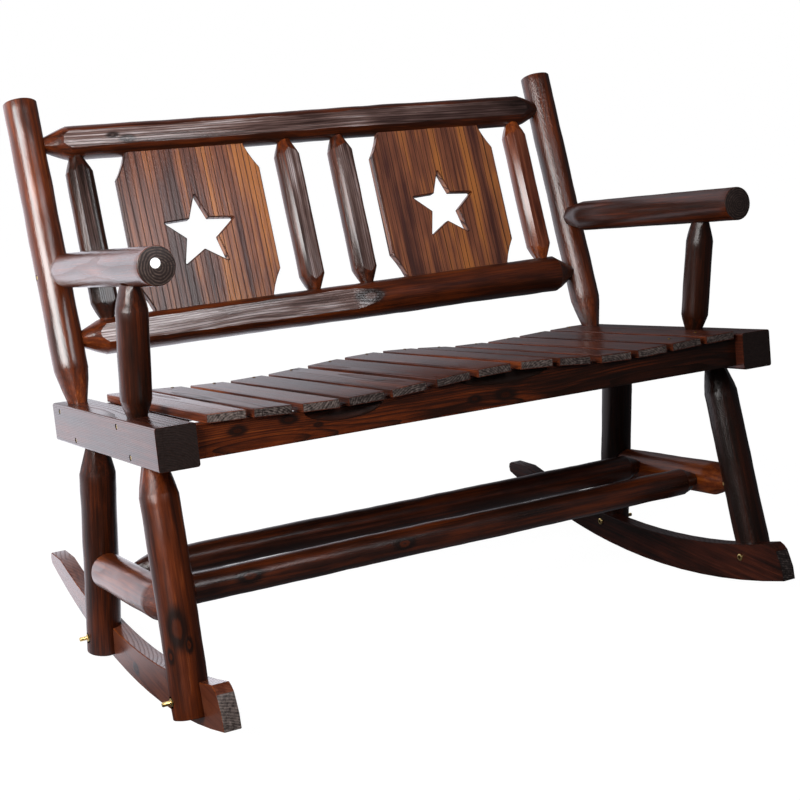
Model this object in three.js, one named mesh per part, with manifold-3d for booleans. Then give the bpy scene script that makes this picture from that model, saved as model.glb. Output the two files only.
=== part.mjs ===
// A two-seat rocking bench of round logs and flat boards, in millimetres.
//
// Every piece is placed with the seat level: X to the viewer's right, the front facing minus Y, Z up,
// Y counted from the middle of the side rails and Z from their undersides. The back pieces are placed
// in the plane of the leaning posts: X across, Y up along the posts, Z out towards the sitter.
// Last of all the whole bench is laid back to the angle at which it comes to rest on its rockers.
import * as THREE from "three";
import { mergeVertices } from "three/addons/utils/BufferGeometryUtils.js";
import Module from "manifold-3d";

const wasm = await Module();
wasm.setup();

// Fit and fineness
const FIT_GAP = 0.3; // clearance round each let-in piece and between touching pieces
const SAME_POINT = 1e-4; // corners of one mesh nearer than this are one corner
const LOG_SIDES = 20;
const SMALL_SIDES = 8;
const HEX_SIDES = 6;
const CORNER_STEPS = 3;
const CUT_EDGE = 2; // worn edge round the bare cut end of a log
const DEGREE = Math.PI / 180;

// Rest
const REST_TILT = 8.2 * DEGREE; // the seat falls this much to the back, where the bench is in balance

// Seat: two squared side rails, two cross bearers cut to a wave, and the slats on them
const SEAT_WIDTH = 1150;
const SIDE_RAIL_LENGTH = 540;
const SIDE_RAIL_HEIGHT = 65;
const SIDE_RAIL_THICKNESS = 63;
const SIDE_RAIL_ROUNDING = 4;
const APRON_THICKNESS = 28;
const APRON_RAISE = 7; // undersides of the bearers over those of the side rails
const SLAT_WIDTH = 63;
const SLAT_THICKNESS = 14;
const SLAT_LENGTH = 480;
const SLAT_SETBACK = 10; // slat fronts behind the side rails' front ends
const SLAT_OVERHANG = 10; // slat ends beyond the bearers
const SLAT_EDGE = 1.5;
const SLAT_GAP = 14.6; // middling gap, which sets how many slats there are
// How the room left between the slats is dealt out, from the left rail to the right one
const SLAT_GAP_SHARES = [20, 11, 16, 14, 12, 17, 15, 19, 13, 21, 13, 12, 12, 10];
// The wave of the seat: where it turns, in parts of the room between the side rails,
// and its height there over the side rails
const WAVE_PLACE_SHARES = [0, 0.25, 0.54, 0.76, 1];
const WAVE_HEIGHTS = [7.5, -1.6, 11.7, -1.1, 5.2];

// Back: leaning posts, two rails, spindles and star panels
const POST_RADIUS = 29.5;
const POST_LENGTH = 539; // above the side rail
const POST_LEAN = 14 * DEGREE;
const POST_FROM_REAR = 48; // foot of a post ahead of the side rail's rear end
const POST_NECK = 18;
const POST_TAPER = 57;
const POST_TENON = 35;
const BACK_RAIL_FORWARD = 4; // rails ahead of the posts' plane
const BACK_RAIL_NECK = 16.5;
const BACK_RAIL_TAPER = 38;
const BACK_RAIL_TENON = 20;
// Both rails rise a little to the right, and the lower one swells
const TOP_RAIL_HEIGHT = 463; // along the posts, above the side rails
const TOP_RAIL_RISE = 9; // right end over left end
const TOP_RAIL_RADIUS = 30.5;
const TOP_RAIL_PLANED = 26; // from the log's centre line to its planed face
const LOWER_RAIL_HEIGHT = 113;
const LOWER_RAIL_RISE = 10;
const LOWER_RAIL_RADIUS = 33.5;
const LOWER_RAIL_SWELL = 3.6; // right end's radius over the left's
const LOWER_RAIL_PLANED = 27;
const LOWER_FLAT_END = 10; // where the lower rail's planed face starts to run out
const LOWER_FLAT_FADE = 80;
const INFILL_FORWARD = 4.5; // spindles and panels ahead of the rails
const INFILL_LEFT = 6; // middle of the spindles and panels left of the bench's
const SPINDLE_RADIUS = 24.5;
const SPINDLE_PLANED = 20.5;
const SPINDLE_NECK = 14;
const SPINDLE_TAPER = 26;
const SPINDLE_TENON = 14;
// Places of the spindles, as parts of the way from the middle to the posts
const OUTER_SPINDLE_SHARE = 0.893;
const INNER_SPINDLE_SHARE = 0.109;
const PANEL_GAP = 38.5; // between a panel and the spindles beside it
const PANEL_CORNER_INSET = 23;
const PANEL_THICKNESS = 16;
const PANEL_EDGE = 1;
const PANEL_TOP_CUT = 45; // height of the hollow corner cuts
const PANEL_FOOT_CUT = 46;
const PANEL_CUT_HOLLOW = 4;
const PANEL_GROOVE = 7; // how deep a panel is let into the rails
const STAR_POINTS = 5;
const STAR_RADIUS = 72;
const STAR_WAIST = 31.5;
const STAR_DROP = 12.5; // below the middle of the panel
const STAR_TIP_SHARE = 0.09; // part of each star edge taken by the rounding of its tip

// Arms and their supports
const ARM_RADIUS = 29.3;
const ARM_HEIGHT = 292; // centre line above the side rails' undersides
const ARM_SETBACK = 17; // front end behind the side rail's front end
const ARM_INSET = 6.5; // centre line inside that of the support
const ARM_NECK = 23;
const ARM_TAPER = 40;
const ARM_TENON = 32;
const ARM_TENON_RADIUS = 14;
const SUPPORT_RADIUS = 24.6;
const SUPPORT_LEAN = 11.9 * DEGREE;
const SUPPORT_FROM_FRONT = 168;
const SUPPORT_NECK = 17;
const SUPPORT_FOOT_TAPER = 28;
const SUPPORT_TOP_TAPER = 34;
const SUPPORT_TENON = 24;

// Legs, rockers and stretchers
const LEG_RADIUS = 30;
const LEG_NECK = 19;
const LEG_TAPER = 50;
const LEG_TENON = 38;
const LEG_SPLAY = 1.5 * DEGREE; // outwards
const FRONT_LEG_RAKE = 10.6 * DEGREE; // forwards
const REAR_LEG_RAKE = 11.1 * DEGREE; // backwards
const FRONT_LEG_FROM_FRONT = 116;
const REAR_LEG_FROM_REAR = 130;
const FRONT_LEG_DROP = 377; // middle of the cut end below the side rails' undersides
const REAR_LEG_DROP = 370;
const ROCKER_THICKNESS = 28;
const ROCKER_INSET = 30; // outer face inside that of the side rail
const ROCKER_RADIUS = 1448;
const ROCKER_DROP = 402; // lowest point of the sole below the side rails' undersides
const ROCKER_AHEAD = 52; // that point ahead of the middle of the side rails
const ROCKER_FRONT_REACH = 328;
const ROCKER_REAR_REACH = 545;
const ROCKER_TOP_RADIUS = 1502;
const ROCKER_TOP_AHEAD = 15;
const ROCKER_DEPTH = 63;
const ROCKER_REST_HALF = 1.2 * DEGREE; // half of the small flat the bench rests on
const ROCKER_STEPS = 8;
const NOSE_HEIGHT = 44;
const NOSE_SLOPE = 11;
const NOSE_BULGE = 3; // forwards of a straight line, half way up the nose
const NOSE_ROUND_LENGTH = 20;
const NOSE_ROUND_HEIGHT = 13;
const TAIL_FLAT = 66; // level part of the top at the tail
const TAIL_RISE = 4;
const TAIL_ROUND = 6;
const STRETCHER_DROP = 218; // centre lines below the side rails' undersides
const SIDE_STRETCHER_RADIUS = 31;
const SIDE_STRETCHER_FRONT_NECK = 20;
const SIDE_STRETCHER_REAR_NECK = 25;
const SIDE_STRETCHER_FRONT_TAPER = 34;
const SIDE_STRETCHER_REAR_TAPER = 14;
const SIDE_STRETCHER_TENON = 18;
const SIDE_STRETCHER_TENON_RADIUS = 14;
const LONG_STRETCHER_RADIUS = 24.6;
const LONG_STRETCHER_NECK = 14;
const LONG_STRETCHER_TAPER = 28;
const LONG_STRETCHER_TENON = 18;
const FRONT_STRETCHER_AHEAD = 98; // ahead of the middle of the side rails
const REAR_STRETCHER_BEHIND = 75;
const REAR_STRETCHER_RAISE = 8; // over the front one

// Screws, bolts and nuts
const SCREW_HEAD_RADIUS = 4;
const SCREW_HEAD_HEIGHT = 2;
const SCREW_SHANK_RADIUS = 2.2;
const SCREW_LENGTH = 46;
const SCREW_POINT = 4;
const SCREW_RECESS = 2.5;
const SCREW_BORE_RADIUS = 4.8;
const SCREW_BEHIND = 10; // behind the centre line of the tenon it pins
const HIGH_SCREW_HEIGHT = 53;
const LOW_SCREW_HEIGHT = 10;
const ARM_SCREW_DROP = 9; // below the arm's centre line
const FRONT_BOLT_DROP = 349;
const REAR_BOLT_DROP = 342;
const BOLT_RADIUS = 3.7;
const BOLT_HEAD_RADIUS = 6.5;
const BOLT_HEAD_HEIGHT = 2.4;
const BOLT_SOCKET_RADIUS = 3;
const BOLT_SOCKET_DEPTH = 1.8;
const BOLT_STUB = 14; // beyond the leg's outside
const BOLT_POINT = 1;
const NUT_RADIUS = 7.2; // to its corners
const NUT_HEIGHT = 6.5;
const NUT_BORE_RADIUS = 9.5;
const NUT_RECESS = 6;

// Finishes: charred and oiled fir, its boards worn greyer than its logs, and brass
const LOG_FINISH = { color: "#4b2519", roughness: 0.35, metalness: 0 };
const RAIL_FINISH = { color: "#5a3b33", roughness: 0.4, metalness: 0 };
const BOARD_FINISH = { color: "#57382f", roughness: 0.4, metalness: 0 };
const PANEL_FINISH = { color: "#8c5330", roughness: 0.4, metalness: 0 };
const BRASS_FINISH = { color: "#c8a24e", roughness: 0.35, metalness: 1 };

const half = (v) => v / 2;
const seatHalf = half(SEAT_WIDTH);
const railHalf = half(SIDE_RAIL_LENGTH);
const innerHalf = seatHalf - SIDE_RAIL_THICKNESS;
const sideX = seatHalf - half(SIDE_RAIL_THICKNESS); // centre line of a side rail
const ORIGIN = new THREE.Vector3();
const UP = new THREE.Vector3(0, 0, 1);
const RIGHT = new THREE.Vector3(1, 0, 0);
const BACK = new THREE.Vector3(0, 1, 0);

// Turning geometry into solids and back

function toSolid(geometry, matrix) {
  const bare = geometry.clone();
  bare.deleteAttribute("normal");
  bare.deleteAttribute("uv");
  if (matrix) bare.applyMatrix4(matrix);
  const merged = mergeVertices(bare, SAME_POINT);
  const kept = [];
  const index = merged.index.array;
  for (let i = 0; i < index.length; i += 3) {
    const corners = [index[i], index[i + 1], index[i + 2]];
    if (new Set(corners).size === corners.length) kept.push(...corners);
  }
  return new wasm.Manifold(
    new wasm.Mesh({
      numProp: 3,
      vertProperties: merged.attributes.position.array,
      triVerts: new Uint32Array(kept),
    }),
  );
}

function toGeometry(solid) {
  const mesh = solid.getMesh();
  const geometry = new THREE.BufferGeometry();
  geometry.setAttribute("position", new THREE.BufferAttribute(mesh.vertProperties, mesh.numProp));
  geometry.setIndex(new THREE.BufferAttribute(mesh.triVerts, 1));
  return geometry;
}

const cut = (solid, ...tools) => tools.reduce((rest, tool) => rest.subtract(tool), solid);

// The frame whose Y runs along a direction from a place, for turned pieces
function alongFrame(place, direction) {
  const turn = new THREE.Quaternion().setFromUnitVectors(BACK, direction.clone().normalize());
  return new THREE.Matrix4().compose(place, turn, new THREE.Vector3(1, 1, 1));
}

// A turned piece from a profile of [distance along the axis, radius] pairs
function turned(profile, place, direction, sides = LOG_SIDES) {
  const points = profile.map(([along, radius]) => new THREE.Vector2(radius, along));
  return toSolid(new THREE.LatheGeometry(points, sides), alongFrame(place, direction));
}

const rod = (radius, start, end) => [
  [start, 0],
  [start, radius],
  [end, radius],
  [end, 0],
];

// A peeled log with a whittled neck and a straight tenon at each end that has one. It can swell
// towards its far end. Called with a growth it gives the hole that the log is let into.
function logProfile({ length, radius, swell = 0, start, finish }, grow = 0) {
  const profile = [];
  if (start) {
    profile.push([-start.tenon - grow, 0], [-start.tenon - grow, start.neck + grow]);
    profile.push([0, start.neck + grow], [start.taper, radius + grow]);
  } else {
    profile.push([-grow, 0], [-grow, radius - CUT_EDGE + grow], [CUT_EDGE - grow, radius + grow]);
  }
  if (finish) {
    profile.push([length - finish.taper, radius + swell + grow], [length, finish.neck + grow]);
    profile.push([length + finish.tenon + grow, finish.neck + grow], [length + finish.tenon + grow, 0]);
  } else {
    profile.push([length - CUT_EDGE + grow, radius + swell + grow]);
    profile.push([length + grow, radius + swell - CUT_EDGE + grow], [length + grow, 0]);
  }
  return profile;
}

function log(spec, place, direction) {
  return {
    body: turned(logProfile(spec), place, direction),
    hole: turned(logProfile(spec, FIT_GAP), place, direction),
  };
}

// A flat board from an outline in the first two directions of a frame, thick along the third and
// centred there
function board(shape, thickness, matrix, edge = 0) {
  const geometry = new THREE.ExtrudeGeometry(shape, {
    depth: thickness - edge - edge,
    bevelEnabled: edge > 0,
    bevelThickness: edge,
    bevelSize: edge,
    bevelOffset: -edge,
    bevelSegments: 1,
    curveSegments: CORNER_STEPS,
  });
  geometry.translate(0, 0, edge - half(thickness));
  return toSolid(geometry, matrix);
}

const polygon = (points) => new THREE.Shape(points.map(([x, y]) => new THREE.Vector2(x, y)));

function frame(x, y, z, place = ORIGIN) {
  return new THREE.Matrix4().makeBasis(x, y, z).setPosition(place);
}

// Outlines drawn across (X) and up (Z), thick front to back
const acrossFrame = (place) => frame(RIGHT, UP, BACK.clone().negate(), place);
// Outlines drawn front to back (Y) and up (Z), thick across
const sidewaysFrame = (place) => frame(BACK, UP, RIGHT, place);

// The plane of the leaning posts
const postUp = new THREE.Vector3(0, Math.sin(POST_LEAN), Math.cos(POST_LEAN));
const postOut = new THREE.Vector3(0, -Math.cos(POST_LEAN), Math.sin(POST_LEAN));
const backPlane = frame(
  RIGHT,
  postUp,
  postOut,
  new THREE.Vector3(0, railHalf - POST_FROM_REAR, SIDE_RAIL_HEIGHT),
);
const onBack = (x, up, out = 0) => new THREE.Vector3(x, up, out).applyMatrix4(backPlane);

const pieces = [];
function keep(name, solid, finish) {
  pieces.push({ name, solid, finish });
}
const SIDES = [
  { side: "left", sign: -1 },
  { side: "right", sign: 1 },
];

// The wave of the seat at a place across it, above the side rails' undersides

function waveHeight(x) {
  const places = WAVE_PLACE_SHARES.map((share) => share * (innerHalf + innerHalf) - innerHalf);
  let i = 0;
  while (i < places.length - 2 && x > places[i + 1]) i += 1;
  const share = (x - places[i]) / (places[i + 1] - places[i]);
  const eased = half(1 - Math.cos(Math.PI * share));
  return SIDE_RAIL_HEIGHT + WAVE_HEIGHTS[i] + eased * (WAVE_HEIGHTS[i + 1] - WAVE_HEIGHTS[i]);
}

// Slats: each is a flat board whose top joins two points of the wave
const seatRoom = innerHalf + innerHalf;
const slatCount = Math.round((seatRoom - SLAT_GAP) / (SLAT_WIDTH + SLAT_GAP));
const gapShare = (i) => SLAT_GAP_SHARES[i % SLAT_GAP_SHARES.length];
let gapTotal = 0;
for (let i = 0; i <= slatCount; i += 1) gapTotal += gapShare(i);
const freeRoom = seatRoom - slatCount * SLAT_WIDTH;
const slatFront = SLAT_SETBACK - railHalf;
const slatMiddle = slatFront + half(SLAT_LENGTH);
const slats = [];
let slatLeft = -innerHalf;
for (let i = 0; i < slatCount; i += 1) {
  slatLeft += (freeRoom * gapShare(i)) / gapTotal;
  const middle = slatLeft + half(SLAT_WIDTH);
  const leftTop = waveHeight(slatLeft);
  const rightTop = waveHeight(slatLeft + SLAT_WIDTH);
  slats.push({ middle, height: half(leftTop + rightTop), tilt: Math.atan2(rightTop - leftTop, SLAT_WIDTH) });
  slatLeft += SLAT_WIDTH;
}

const slatShape = polygon([
  [-half(SLAT_WIDTH), -SLAT_THICKNESS],
  [half(SLAT_WIDTH), -SLAT_THICKNESS],
  [half(SLAT_WIDTH), -SLAT_EDGE],
  [half(SLAT_WIDTH) - SLAT_EDGE, 0],
  [SLAT_EDGE - half(SLAT_WIDTH), 0],
  [-half(SLAT_WIDTH), -SLAT_EDGE],
]);
slats.forEach(({ middle, height, tilt }, i) => {
  const place = acrossFrame(new THREE.Vector3(middle, slatMiddle, height));
  place.multiply(new THREE.Matrix4().makeRotationZ(tilt));
  const name = "seat_slat_" + String(i + 1).padStart(2, "0");
  keep(name, board(slatShape, SLAT_LENGTH, place), BOARD_FINISH);
});

// Cross bearers: straight below, cut along the undersides of the slats above
function bearer(middleY) {
  const end = innerHalf - FIT_GAP;
  const down = SLAT_THICKNESS + FIT_GAP;
  const top = [];
  for (const { middle, height, tilt } of slats) {
    for (const across of [-half(SLAT_WIDTH), half(SLAT_WIDTH)]) {
      const x = middle + across * Math.cos(tilt) + down * Math.sin(tilt);
      const z = height + across * Math.sin(tilt) - down * Math.cos(tilt);
      top.push([x, z]);
    }
  }
  const [, leftZ] = top[0];
  const [, rightZ] = top[top.length - 1];
  const outline = [[end, APRON_RAISE], [end, rightZ], ...top.reverse(), [-end, leftZ], [-end, APRON_RAISE]];
  return board(polygon(outline), APRON_THICKNESS, acrossFrame(new THREE.Vector3(0, middleY, 0)));
}
const apronInset = SLAT_OVERHANG + half(APRON_THICKNESS);
keep("front_bearer", bearer(slatFront + apronInset), LOG_FINISH);
keep("rear_bearer", bearer(slatFront + SLAT_LENGTH - apronInset), LOG_FINISH);

// Rockers: a curved sole with one small flat where the bench rests, a rounded nose and a thin tail

function rockerOutline() {
  const soleY = -ROCKER_AHEAD;
  const soleZ = ROCKER_RADIUS - ROCKER_DROP;
  const sole = (angle) => [
    soleY + ROCKER_RADIUS * Math.sin(angle),
    soleZ - ROCKER_RADIUS * Math.cos(angle),
  ];
  const noseAngle = Math.asin((ROCKER_AHEAD - ROCKER_FRONT_REACH) / ROCKER_RADIUS);
  const tailAngle = Math.asin((ROCKER_AHEAD + ROCKER_REAR_REACH) / ROCKER_RADIUS);
  const restFront = REST_TILT - ROCKER_REST_HALF;
  const restRear = REST_TILT + ROCKER_REST_HALF;
  const points = [];
  for (let i = 0; i <= ROCKER_STEPS; i += 1) {
    points.push(sole(noseAngle + ((restFront - noseAngle) * i) / ROCKER_STEPS));
  }
  for (let i = 0; i <= ROCKER_STEPS; i += 1) {
    points.push(sole(restRear + ((tailAngle - restRear) * i) / ROCKER_STEPS));
  }
  const topZ = ROCKER_TOP_RADIUS - ROCKER_DROP + ROCKER_DEPTH;
  const topAt = (y) => [y, topZ - Math.sqrt(ROCKER_TOP_RADIUS ** 2 - (y + ROCKER_TOP_AHEAD) ** 2)];
  const flatStart = topAt(ROCKER_REAR_REACH - TAIL_FLAT);
  const tailTop = flatStart[1] + TAIL_RISE;
  const [tailY, tailZ] = points[points.length - 1];
  points.push([tailY + half(TAIL_ROUND), half(tailZ + tailTop)]);
  points.push([tailY, tailTop - half(TAIL_ROUND)]);
  points.push([tailY - TAIL_ROUND, tailTop]);
  const [noseY, noseZ] = points[0];
  const noseTop = [noseY + NOSE_SLOPE, noseZ + NOSE_HEIGHT];
  const roundEnd = topAt(noseTop[0] + NOSE_ROUND_LENGTH);
  for (let i = 0; i <= ROCKER_STEPS + ROCKER_STEPS; i += 1) {
    const share = i / (ROCKER_STEPS + ROCKER_STEPS);
    points.push(topAt(flatStart[0] + (roundEnd[0] - flatStart[0]) * share));
  }
  const curve = new THREE.QuadraticBezierCurve(
    new THREE.Vector2(...roundEnd),
    new THREE.Vector2(noseTop[0] + NOSE_BULGE, noseTop[1] + NOSE_ROUND_HEIGHT),
    new THREE.Vector2(...noseTop),
  );
  curve.getPoints(CORNER_STEPS).forEach(({ x, y }, i) => {
    if (i > 0) points.push([x, y]);
  });
  points.push([noseY + half(NOSE_SLOPE) - NOSE_BULGE, noseZ + half(NOSE_HEIGHT)]);
  return points;
}
const rockerX = seatHalf - ROCKER_INSET - half(ROCKER_THICKNESS);
const rockerShape = polygon(rockerOutline());

// Back rails
const backRailEnd = sideX - POST_RADIUS;
const backRailSpan = backRailEnd + backRailEnd;

function backRail(height, rise, radius, swell) {
  const left = onBack(-backRailEnd, height - half(rise), BACK_RAIL_FORWARD);
  const right = onBack(backRailEnd, height + half(rise), BACK_RAIL_FORWARD);
  const along = right.sub(left);
  const end = { neck: BACK_RAIL_NECK, taper: BACK_RAIL_TAPER, tenon: BACK_RAIL_TENON };
  const spec = { length: along.length(), radius: radius - half(swell), swell, start: end, finish: end };
  return log(spec, left, along);
}
const topRail = backRail(TOP_RAIL_HEIGHT, TOP_RAIL_RISE, TOP_RAIL_RADIUS, 0);
const lowerRail = backRail(LOWER_RAIL_HEIGHT, LOWER_RAIL_RISE, LOWER_RAIL_RADIUS, LOWER_RAIL_SWELL);

// Spindles and panels stand between the rails and are let into both
const infillOut = BACK_RAIL_FORWARD + INFILL_FORWARD;
const footAt = (x) =>
  LOWER_RAIL_HEIGHT + LOWER_RAIL_RADIUS + ((LOWER_RAIL_RISE + LOWER_RAIL_SWELL) * x) / backRailSpan;
const headAt = (x) => TOP_RAIL_HEIGHT - TOP_RAIL_RADIUS + (TOP_RAIL_RISE * x) / backRailSpan;
const outerSpindle = OUTER_SPINDLE_SHARE * backRailEnd;
const innerSpindle = INNER_SPINDLE_SHARE * backRailEnd;
const panelWidth = outerSpindle - innerSpindle - SPINDLE_RADIUS - SPINDLE_RADIUS - PANEL_GAP - PANEL_GAP;
const infillHoles = [];

// The room in front of a planed face, drawn across and outwards in the plane of the back
function planing(outline, height, tall) {
  const place = frame(RIGHT, postOut, postUp.clone().negate(), onBack(0, height));
  return board(polygon(outline), tall, place);
}

function spindle(x) {
  const foot = footAt(x);
  const head = headAt(x);
  const end = { neck: SPINDLE_NECK, taper: SPINDLE_TAPER, tenon: SPINDLE_TENON };
  const spec = { length: head - foot, radius: SPINDLE_RADIUS, start: end, finish: end };
  const made = log(spec, onBack(x, foot, infillOut), postUp);
  const front = infillOut + SPINDLE_PLANED;
  const wide = SPINDLE_RADIUS + SPINDLE_RADIUS;
  const outline = [
    [x - wide, front],
    [x + wide, front],
    [x + wide, front + wide],
    [x - wide, front + wide],
  ];
  const flat = planing(outline, half(foot + head), head - foot);
  infillHoles.push(made.hole);
  return cut(made.body, flat);
}
[-outerSpindle, -innerSpindle, innerSpindle, outerSpindle].forEach((x, i) => {
  keep("back_spindle_" + (i + 1), spindle(x - INFILL_LEFT), LOG_FINISH);
});

// A panel narrows at its head and foot by hollow cuts, and is pierced by a five-pointed star
function panelShape(middle, grow) {
  const wide = half(panelWidth) + grow;
  const left = middle - wide;
  const right = middle + wide;
  const leftEnd = left + PANEL_CORNER_INSET;
  const rightEnd = right - PANEL_CORNER_INSET;
  const leftHollow = half(left + leftEnd) + PANEL_CUT_HOLLOW;
  const rightHollow = half(right + rightEnd) - PANEL_CUT_HOLLOW;
  const foot = PANEL_GROOVE + grow;
  const lowHollow = half(PANEL_FOOT_CUT);
  const highHollow = half(PANEL_TOP_CUT);
  const shape = new THREE.Shape();
  shape.moveTo(leftEnd, footAt(leftEnd) - foot);
  shape.lineTo(rightEnd, footAt(rightEnd) - foot);
  shape.lineTo(rightEnd, footAt(rightEnd));
  shape.quadraticCurveTo(rightHollow, footAt(right) + lowHollow, right, footAt(right) + PANEL_FOOT_CUT);
  shape.lineTo(right, headAt(right) - PANEL_TOP_CUT);
  shape.quadraticCurveTo(rightHollow, headAt(right) - highHollow, rightEnd, headAt(rightEnd));
  shape.lineTo(rightEnd, headAt(rightEnd) + foot);
  shape.lineTo(leftEnd, headAt(leftEnd) + foot);
  shape.lineTo(leftEnd, headAt(leftEnd));
  shape.quadraticCurveTo(leftHollow, headAt(left) - highHollow, left, headAt(left) - PANEL_TOP_CUT);
  shape.lineTo(left, footAt(left) + PANEL_FOOT_CUT);
  shape.quadraticCurveTo(leftHollow, footAt(left) + lowHollow, leftEnd, footAt(leftEnd));
  return shape;
}

function starPath(middle) {
  const centre = half(footAt(middle) + headAt(middle)) - STAR_DROP;
  const count = STAR_POINTS + STAR_POINTS;
  const corner = (i) => {
    const radius = i % 2 ? STAR_WAIST : STAR_RADIUS;
    const angle = half(Math.PI) + (i * Math.PI) / STAR_POINTS;
    return new THREE.Vector2(middle + radius * Math.cos(angle), centre + radius * Math.sin(angle));
  };
  const path = new THREE.Path();
  for (let i = 0; i < count; i += 2) {
    const tip = corner(i);
    const before = tip.clone().lerp(corner(i + count - 1), STAR_TIP_SHARE);
    const after = tip.clone().lerp(corner(i + 1), STAR_TIP_SHARE);
    if (i) path.lineTo(before.x, before.y);
    else path.moveTo(before.x, before.y);
    path.quadraticCurveTo(tip.x, tip.y, after.x, after.y);
    const inner = corner(i + 1);
    path.lineTo(inner.x, inner.y);
  }
  path.closePath();
  return path;
}

for (const { side, sign } of SIDES) {
  const place = backPlane.clone().multiply(new THREE.Matrix4().makeTranslation(0, 0, infillOut));
  const middle = sign * half(outerSpindle + innerSpindle) - INFILL_LEFT;
  const shape = panelShape(middle, 0);
  shape.holes.push(starPath(middle));
  infillHoles.push(board(panelShape(middle, FIT_GAP), PANEL_THICKNESS + FIT_GAP + FIT_GAP, place));
  keep("star_panel_" + side, board(shape, PANEL_THICKNESS, place, PANEL_EDGE), PANEL_FINISH);
}

const beyondRail = TOP_RAIL_RADIUS + LOWER_RAIL_RADIUS;
const topFlatOut = BACK_RAIL_FORWARD + TOP_RAIL_PLANED;
const topFlat = planing(
  [
    [-seatHalf, topFlatOut],
    [seatHalf, topFlatOut],
    [seatHalf, topFlatOut + beyondRail],
    [-seatHalf, topFlatOut + beyondRail],
  ],
  TOP_RAIL_HEIGHT,
  beyondRail + beyondRail,
);
const lowerFlatOut = BACK_RAIL_FORWARD + LOWER_RAIL_PLANED;
const fadeOut = BACK_RAIL_FORWARD + LOWER_RAIL_RADIUS + CUT_EDGE;
const lowerFlat = planing(
  [
    [-seatHalf, lowerFlatOut],
    [LOWER_FLAT_END, lowerFlatOut],
    [LOWER_FLAT_END + LOWER_FLAT_FADE, fadeOut],
    [LOWER_FLAT_END + LOWER_FLAT_FADE, lowerFlatOut + beyondRail],
    [-seatHalf, lowerFlatOut + beyondRail],
  ],
  LOWER_RAIL_HEIGHT,
  beyondRail + beyondRail,
);
keep("top_back_rail", cut(topRail.body, topFlat, ...infillHoles), LOG_FINISH);
keep("lower_back_rail", cut(lowerRail.body, lowerFlat, ...infillHoles), LOG_FINISH);

// Screws are driven inwards from each side, each in a shallow bore
const screwProfile = (grow = 0) => [
  [-grow, 0],
  [-grow, SCREW_HEAD_RADIUS + grow],
  [SCREW_HEAD_HEIGHT + grow, SCREW_HEAD_RADIUS + grow],
  [SCREW_HEAD_HEIGHT + SCREW_HEAD_RADIUS - SCREW_SHANK_RADIUS + grow, SCREW_SHANK_RADIUS + grow],
  [SCREW_LENGTH - SCREW_POINT + grow, SCREW_SHANK_RADIUS + grow],
  [SCREW_LENGTH + grow, 0],
];

function screw(sign, surfaceX, y, z) {
  const place = new THREE.Vector3(sign * (surfaceX - SCREW_RECESS), y, z);
  const inwards = RIGHT.clone().multiplyScalar(-sign);
  const mouth = -SCREW_HEAD_HEIGHT - SCREW_RECESS;
  const bore = turned(rod(SCREW_BORE_RADIUS, mouth, 0), place, inwards, SMALL_SIDES);
  return {
    body: turned(screwProfile(), place, inwards, SMALL_SIDES),
    hole: turned(screwProfile(FIT_GAP), place, inwards, SMALL_SIDES).add(bore),
  };
}

function bolt(sign, y, z, start, end) {
  const place = new THREE.Vector3(0, y, z);
  const outwards = RIGHT.clone().multiplyScalar(sign);
  const head = start - BOLT_HEAD_HEIGHT;
  const profile = (grow) => [
    [head - grow, 0],
    [head - grow, BOLT_HEAD_RADIUS + grow],
    [start, BOLT_HEAD_RADIUS + grow],
    [start, BOLT_RADIUS + grow],
    [end - BOLT_POINT + grow, BOLT_RADIUS + grow],
    [end + grow, BOLT_RADIUS - BOLT_POINT + grow],
    [end + grow, 0],
  ];
  const socket = turned(
    rod(BOLT_SOCKET_RADIUS, head - BOLT_SOCKET_DEPTH, head + BOLT_SOCKET_DEPTH),
    place,
    outwards,
    HEX_SIDES,
  );
  return {
    body: cut(turned(profile(0), place, outwards, SMALL_SIDES), socket),
    hole: turned(profile(FIT_GAP), place, outwards, SMALL_SIDES),
  };
}

// A log that butts against a round neighbour: its end is hollowed to fit and a thinner tenon goes in.
// The log's own ends must lie inside its neighbours.
function coped(spec, place, direction, neighbours, tenonStart, tenonEnd, tenonRadius) {
  const trimmed = cut(turned(logProfile(spec), place, direction), ...neighbours);
  const tenon = turned(rod(tenonRadius, tenonStart, tenonEnd), place, direction);
  const tenonHole = turned(
    rod(tenonRadius + FIT_GAP, tenonStart - FIT_GAP, tenonEnd + FIT_GAP),
    place,
    direction,
  );
  return { body: trimmed.add(tenon), hole: tenonHole };
}

// Long stretchers, whose tapered ends go into the side stretchers
function longStretcher(y, raise) {
  const reach = sideX + STRETCHER_DROP * Math.tan(LEG_SPLAY) - SIDE_STRETCHER_RADIUS;
  const end = { neck: LONG_STRETCHER_NECK, taper: LONG_STRETCHER_TAPER, tenon: LONG_STRETCHER_TENON };
  const spec = { length: reach + reach, radius: LONG_STRETCHER_RADIUS, start: end, finish: end };
  return log(spec, new THREE.Vector3(-reach, y, raise - STRETCHER_DROP), RIGHT);
}
const frontStretcher = longStretcher(-FRONT_STRETCHER_AHEAD, 0);
const rearStretcher = longStretcher(REAR_STRETCHER_BEHIND, REAR_STRETCHER_RAISE);
keep("long_stretcher_front", frontStretcher.body, LOG_FINISH);
keep("long_stretcher_rear", rearStretcher.body, LOG_FINISH);

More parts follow.
